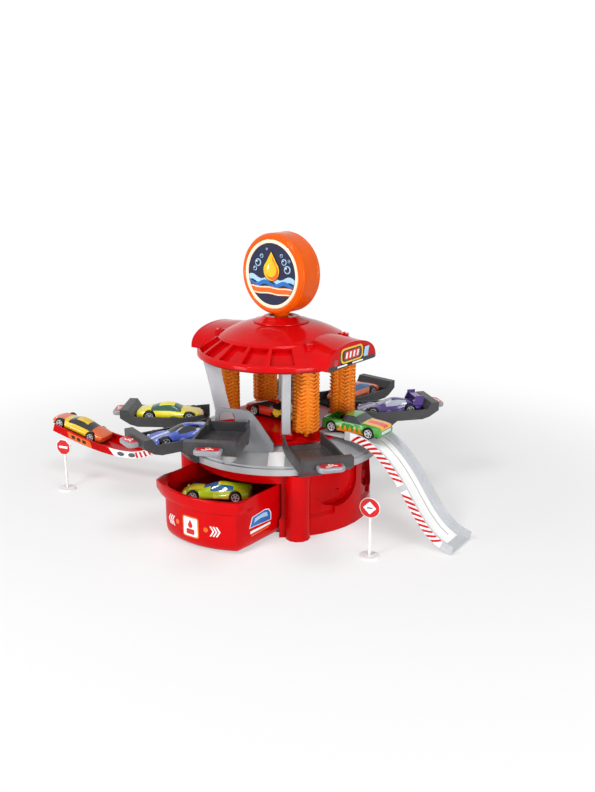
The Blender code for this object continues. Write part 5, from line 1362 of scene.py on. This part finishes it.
def wheels(end):
    """Two wheels on an axle: vinyl tyres, and silver rims with five spokes."""
    parts = [inked(across(drum(0.0010, -0.0120, 0.0120, 16)), 1)]
    outer = CAR_HALF_W - GAP
    tread = WHEEL_W - 0.0014
    # Radius and depth below the outer face: tyre, the rim's lip, the dark disc behind the spokes, hub.
    tyre = [(0.0036, WHEEL_W), (0.0049, WHEEL_W), (0.0054, WHEEL_W - 0.0006), (WHEEL_R, tread),
            (WHEEL_R, 0.0012),
            (0.0053, 0.0004), (0.0048, 0), (0.0041, 0), (0.0038, 0.0006), (0.0036, 0.0010)]
    lip = [(0.0033, 0.0016), (0.0033, 0.0002), (0.0040, 0.0001), (0.0040, 0.0016)]
    back = [(0, 0.0022), (0.0037, 0.0022), (0.0037, 0.0030), (0, 0.0030)]
    hub = [(0, 0.0004), (0.0008, 0.0004), (0.0011, 0.0008), (0.0011, 0.0026), (0, 0.0026)]
    for side in (-1, 1):
        for profile, steps, ink in ((tyre, 32, 0), (lip, 32, 1), (back, 24, 0), (hub, 20, 1)):
            parts.append(inked(across(turned([(r, -side * (outer - deep)) for r, deep in profile], steps)),
                               ink))
        for i in range(5):
            low, high = sorted((side * (outer - 0.0018), side * (outer - 0.0007)))
            spoke = box((0.0004, low, -0.00055), (0.0036, high, 0.00055))
            parts.append(inked(placed(spoke, tip=math.tau * i / 5 + 0.3), 1))
    return placed(merged(*parts), (AXLES[end], 0, WHEEL_R))


def car(name, style, window, place, wing=None):
    """One car: its shell with wheel wells, small parts and lamps in one piece, and two sets of wheels."""
    obj = blank("shell", car_body(style))
    if style == "pickup":
        edges = obj.modifiers.new("Round edges", "BEVEL")
        edges.width = 0.0007
        edges.segments = 3
        edges.angle_limit = math.radians(14)
    else:
        fine = obj.modifiers.new("Subdivide", "SUBSURF")
        fine.levels = 2
    settled(obj)
    bm = bmesh.new()
    bm.from_mesh(obj.data)
    bpy.data.objects.remove(obj)
    cutters = []
    for x in AXLES.values():
        for side in (-1, 1):
            low, high = sorted((side * 0.0085, side * 0.03))
            cutters.append(placed(across(drum(WHEEL_R + 0.0009, low, high, 32)), (x, 0, WHEEL_R)))
    bm = joined(bm, merged(*cutters), "DIFFERENCE")
    if style == "pickup":
        bed = box((-0.0272, -0.0108, 0.0080), (-0.0085, 0.0108, 0.03))
        bm = joined(bm, bed, "DIFFERENCE")
    parts = [bm, inked(box((-0.0290, -0.0118, 0.0021), (0.0300, 0.0118, 0.0030)), 2)]
    for low, high, lift, tip, ink in TRIM[style]:
        parts.append(inked(placed(box(low, high), (0, 0, lift), tip=tip), ink))
    for side in (-1, 1):
        eye = turned([(0, 0.0005), (0.0013, 0.0003), (0.0016, -0.0006), (0, -0.0006)], 16)
        eye = placed(eye, tip=math.radians(62))
        x, z = (0.0322, 0.0092) if style == "pickup" else (0.0292, 0.0080)
        parts.append(inked(placed(eye, (x, side * 0.0086, z)), 3))
    if wing:
        height, chord = wing
        parts.append(box((WING_BACK, -0.0128, height - 0.0011), (WING_BACK + chord, 0.0128, height)))
        for side in (-1, 1):
            low, high = sorted((side * 0.0118, side * 0.0132))
            parts.append(side_wing(low, high, height, chord))
    finishes = [PAINTS[name], window, tyre_vinyl, silver_paint]
    piece(f"{name}_body", merged(*parts), finishes, name, [name], place=place, sharp=34)
    for end in AXLES:
        node = f"{name}_{end}_wheels"
        piece(f"{name}_{end}_wheel_set", wheels(end), [tyre_vinyl, silver_paint], node, [node], place=place)


def side_wing(low, high, height, chord):
    """An end plate of the rear wing."""
    front = WING_BACK + chord
    outline = [(-0.0330, 0.0095), (-0.0215, 0.0105), (front, height - 0.0006), (front, height + 0.0018),
               (-0.0332, height + 0.0018)]
    return placed(side_prism(outline, (high - low) / 2), (0, (low + high) / 2, 0))


def cars():
    def on_tray(angle, heading):
        return spun(angle) @ shift(CAR_ON_TRAY_R, 0, TRAY_FLOOR_Z + GAP) @ spun(heading)

    car("car_a", "coupe", green_window, on_tray(214, 180))
    car("car_b", "racer", smoked_window, on_tray(251, 0))
    car("car_c", "racer", grey_window, on_tray(51, 180), wing=(0.0182, 0.0075))
    car("car_d", "coupe", blue_window, on_tray(85, 180))
    car("car_e", "coupe", smoked_window, shift(-0.006, 0, BAY_FLOOR_Z + GAP))
    on_slide = shift(*polar(0.0860, RAMP_ANGLE, BAY_FLOOR_Z + GAP)) @ spun(RAMP_ANGLE)
    car("car_f", "pickup", smoked_window, on_slide)
    car("car_g", "racer", blue_window, shift(-0.004, -0.094, BASIN_Z + GAP) @ spun(213))
    low, high = LAUNCH_PATH[-3], LAUNCH_PATH[-1]
    slope = math.atan2(high[1] - low[1], high[0] - low[0])
    at = polar(high[0] - CAR_H_BACK, LAUNCH_ANGLE, high[1] - CAR_H_BACK * math.tan(slope) + GAP + 0.0006)
    on_launch = shift(*at) @ spun(LAUNCH_ANGLE) @ Matrix.Rotation(-slope, 4, "Y")
    car("car_h", "coupe", smoked_window, on_launch)


# Stage, light and camera

def direct(tree):
    """1 for a ray that shows the surround: seen straight, mirrored, or through something clear."""
    ray = add(tree, "ShaderNodeLightPath")
    straight = add(tree, "ShaderNodeMath", {0: ray.outputs["Is Camera Ray"], 1: ray.outputs["Is Glossy Ray"]},
                   operation="MAXIMUM")
    return add(tree, "ShaderNodeMath", {0: straight.outputs["Value"], 1: ray.outputs["Is Transmission Ray"]},
               operation="MAXIMUM").outputs["Value"]


def stage():
    """A plain pale floor, a white surround, and soft lamps at a plain level."""
    floor = bpy.data.objects.new("floor", bpy.data.meshes.new("floor"))
    bm = bmesh.new()
    bmesh.ops.create_grid(bm, x_segments=1, y_segments=1, size=40.0)
    bm.to_mesh(floor.data)
    bm.free()
    bpy.context.scene.collection.objects.link(floor)
    made = bpy.data.materials.new("Plain pale floor")
    made.use_nodes = True
    tree = made.node_tree
    shader = tree.nodes["Principled BSDF"]
    shader.inputs["Base Color"].default_value = linear("F0F0F0")
    shader.inputs["Roughness"].default_value = 0.9
    shader.inputs["Specular IOR Level"].default_value = 0.1
    place = add(tree, "ShaderNodeTexCoord").outputs["Object"]
    reach = add(tree, "ShaderNodeVectorMath", {0: place}, operation="LENGTH")
    glow = add(tree, "ShaderNodeMapRange", {"Value": reach.outputs["Value"]},
               {"From Min": FLOOR_NEAR, "From Max": FLOOR_FAR, "To Min": FLOOR_GLOW, "To Max": 1.0},
               interpolation_type="SMOOTHSTEP")
    seen = add(tree, "ShaderNodeMath", {0: direct(tree), 1: glow.outputs["Result"]}, operation="MULTIPLY")
    white = add(tree, "ShaderNodeEmission", sockets={"Color": (1, 1, 1, 1), "Strength": 1.0})
    both = add(tree, "ShaderNodeMixShader",
               {"Fac": seen.outputs["Value"], 1: shader.outputs["BSDF"], 2: white.outputs["Emission"]})
    tree.links.new(both.outputs["Shader"], tree.nodes["Material Output"].inputs["Surface"])
    floor.data.materials.append(made)
    world = bpy.data.worlds.new("Studio")
    bpy.context.scene.world = world
    world.use_nodes = True
    tree = world.node_tree
    background = tree.nodes["Background"]
    level = add(tree, "ShaderNodeMapRange", {"Value": direct(tree)}, {"To Min": SURROUND, "To Max": 1.0})
    background.inputs["Color"].default_value = (1, 1, 1, 1)
    tree.links.new(level.outputs["Result"], background.inputs["Strength"])
    for name, spot, size, power in LAMPS:
        lamp = bpy.data.lights.new(name, "AREA")
        lamp.size = size
        lamp.energy = power
        holder = bpy.data.objects.new(name, lamp)
        at = spun(VIEW_TURN) @ Vector(spot)
        holder.location = at
        holder.rotation_euler = (LAMP_AIM - at).to_track_quat("-Z", "Y").to_euler()
        bpy.context.scene.collection.objects.link(holder)


def camera():
    """The photograph's own viewpoint: turned 37.5 degrees about the tower and tipped down 16 degrees."""
    lens = bpy.data.cameras.new("camera")
    holder = bpy.data.objects.new("camera", lens)
    bpy.context.scene.collection.objects.link(holder)
    lens.sensor_width = SENSOR_MM
    lens.lens = FOCAL_SHARE * SENSOR_MM
    lens.clip_start = 0.01
    stand = Matrix.Translation(CAMERA_AT) @ Matrix.Rotation(math.pi / 2 - CAMERA_TIP, 4, "X")
    holder.matrix_world = spun(VIEW_TURN) @ stand
    bpy.context.scene.camera = holder


base()
alcove_frames()
tub()
deck()
bay()
pillars()
roof()
collar()
sign()
brushes()
trays()
ramps()
road_signs()
cars()
stage()
camera()
bpy.context.scene.view_settings.view_transform = "Standard"
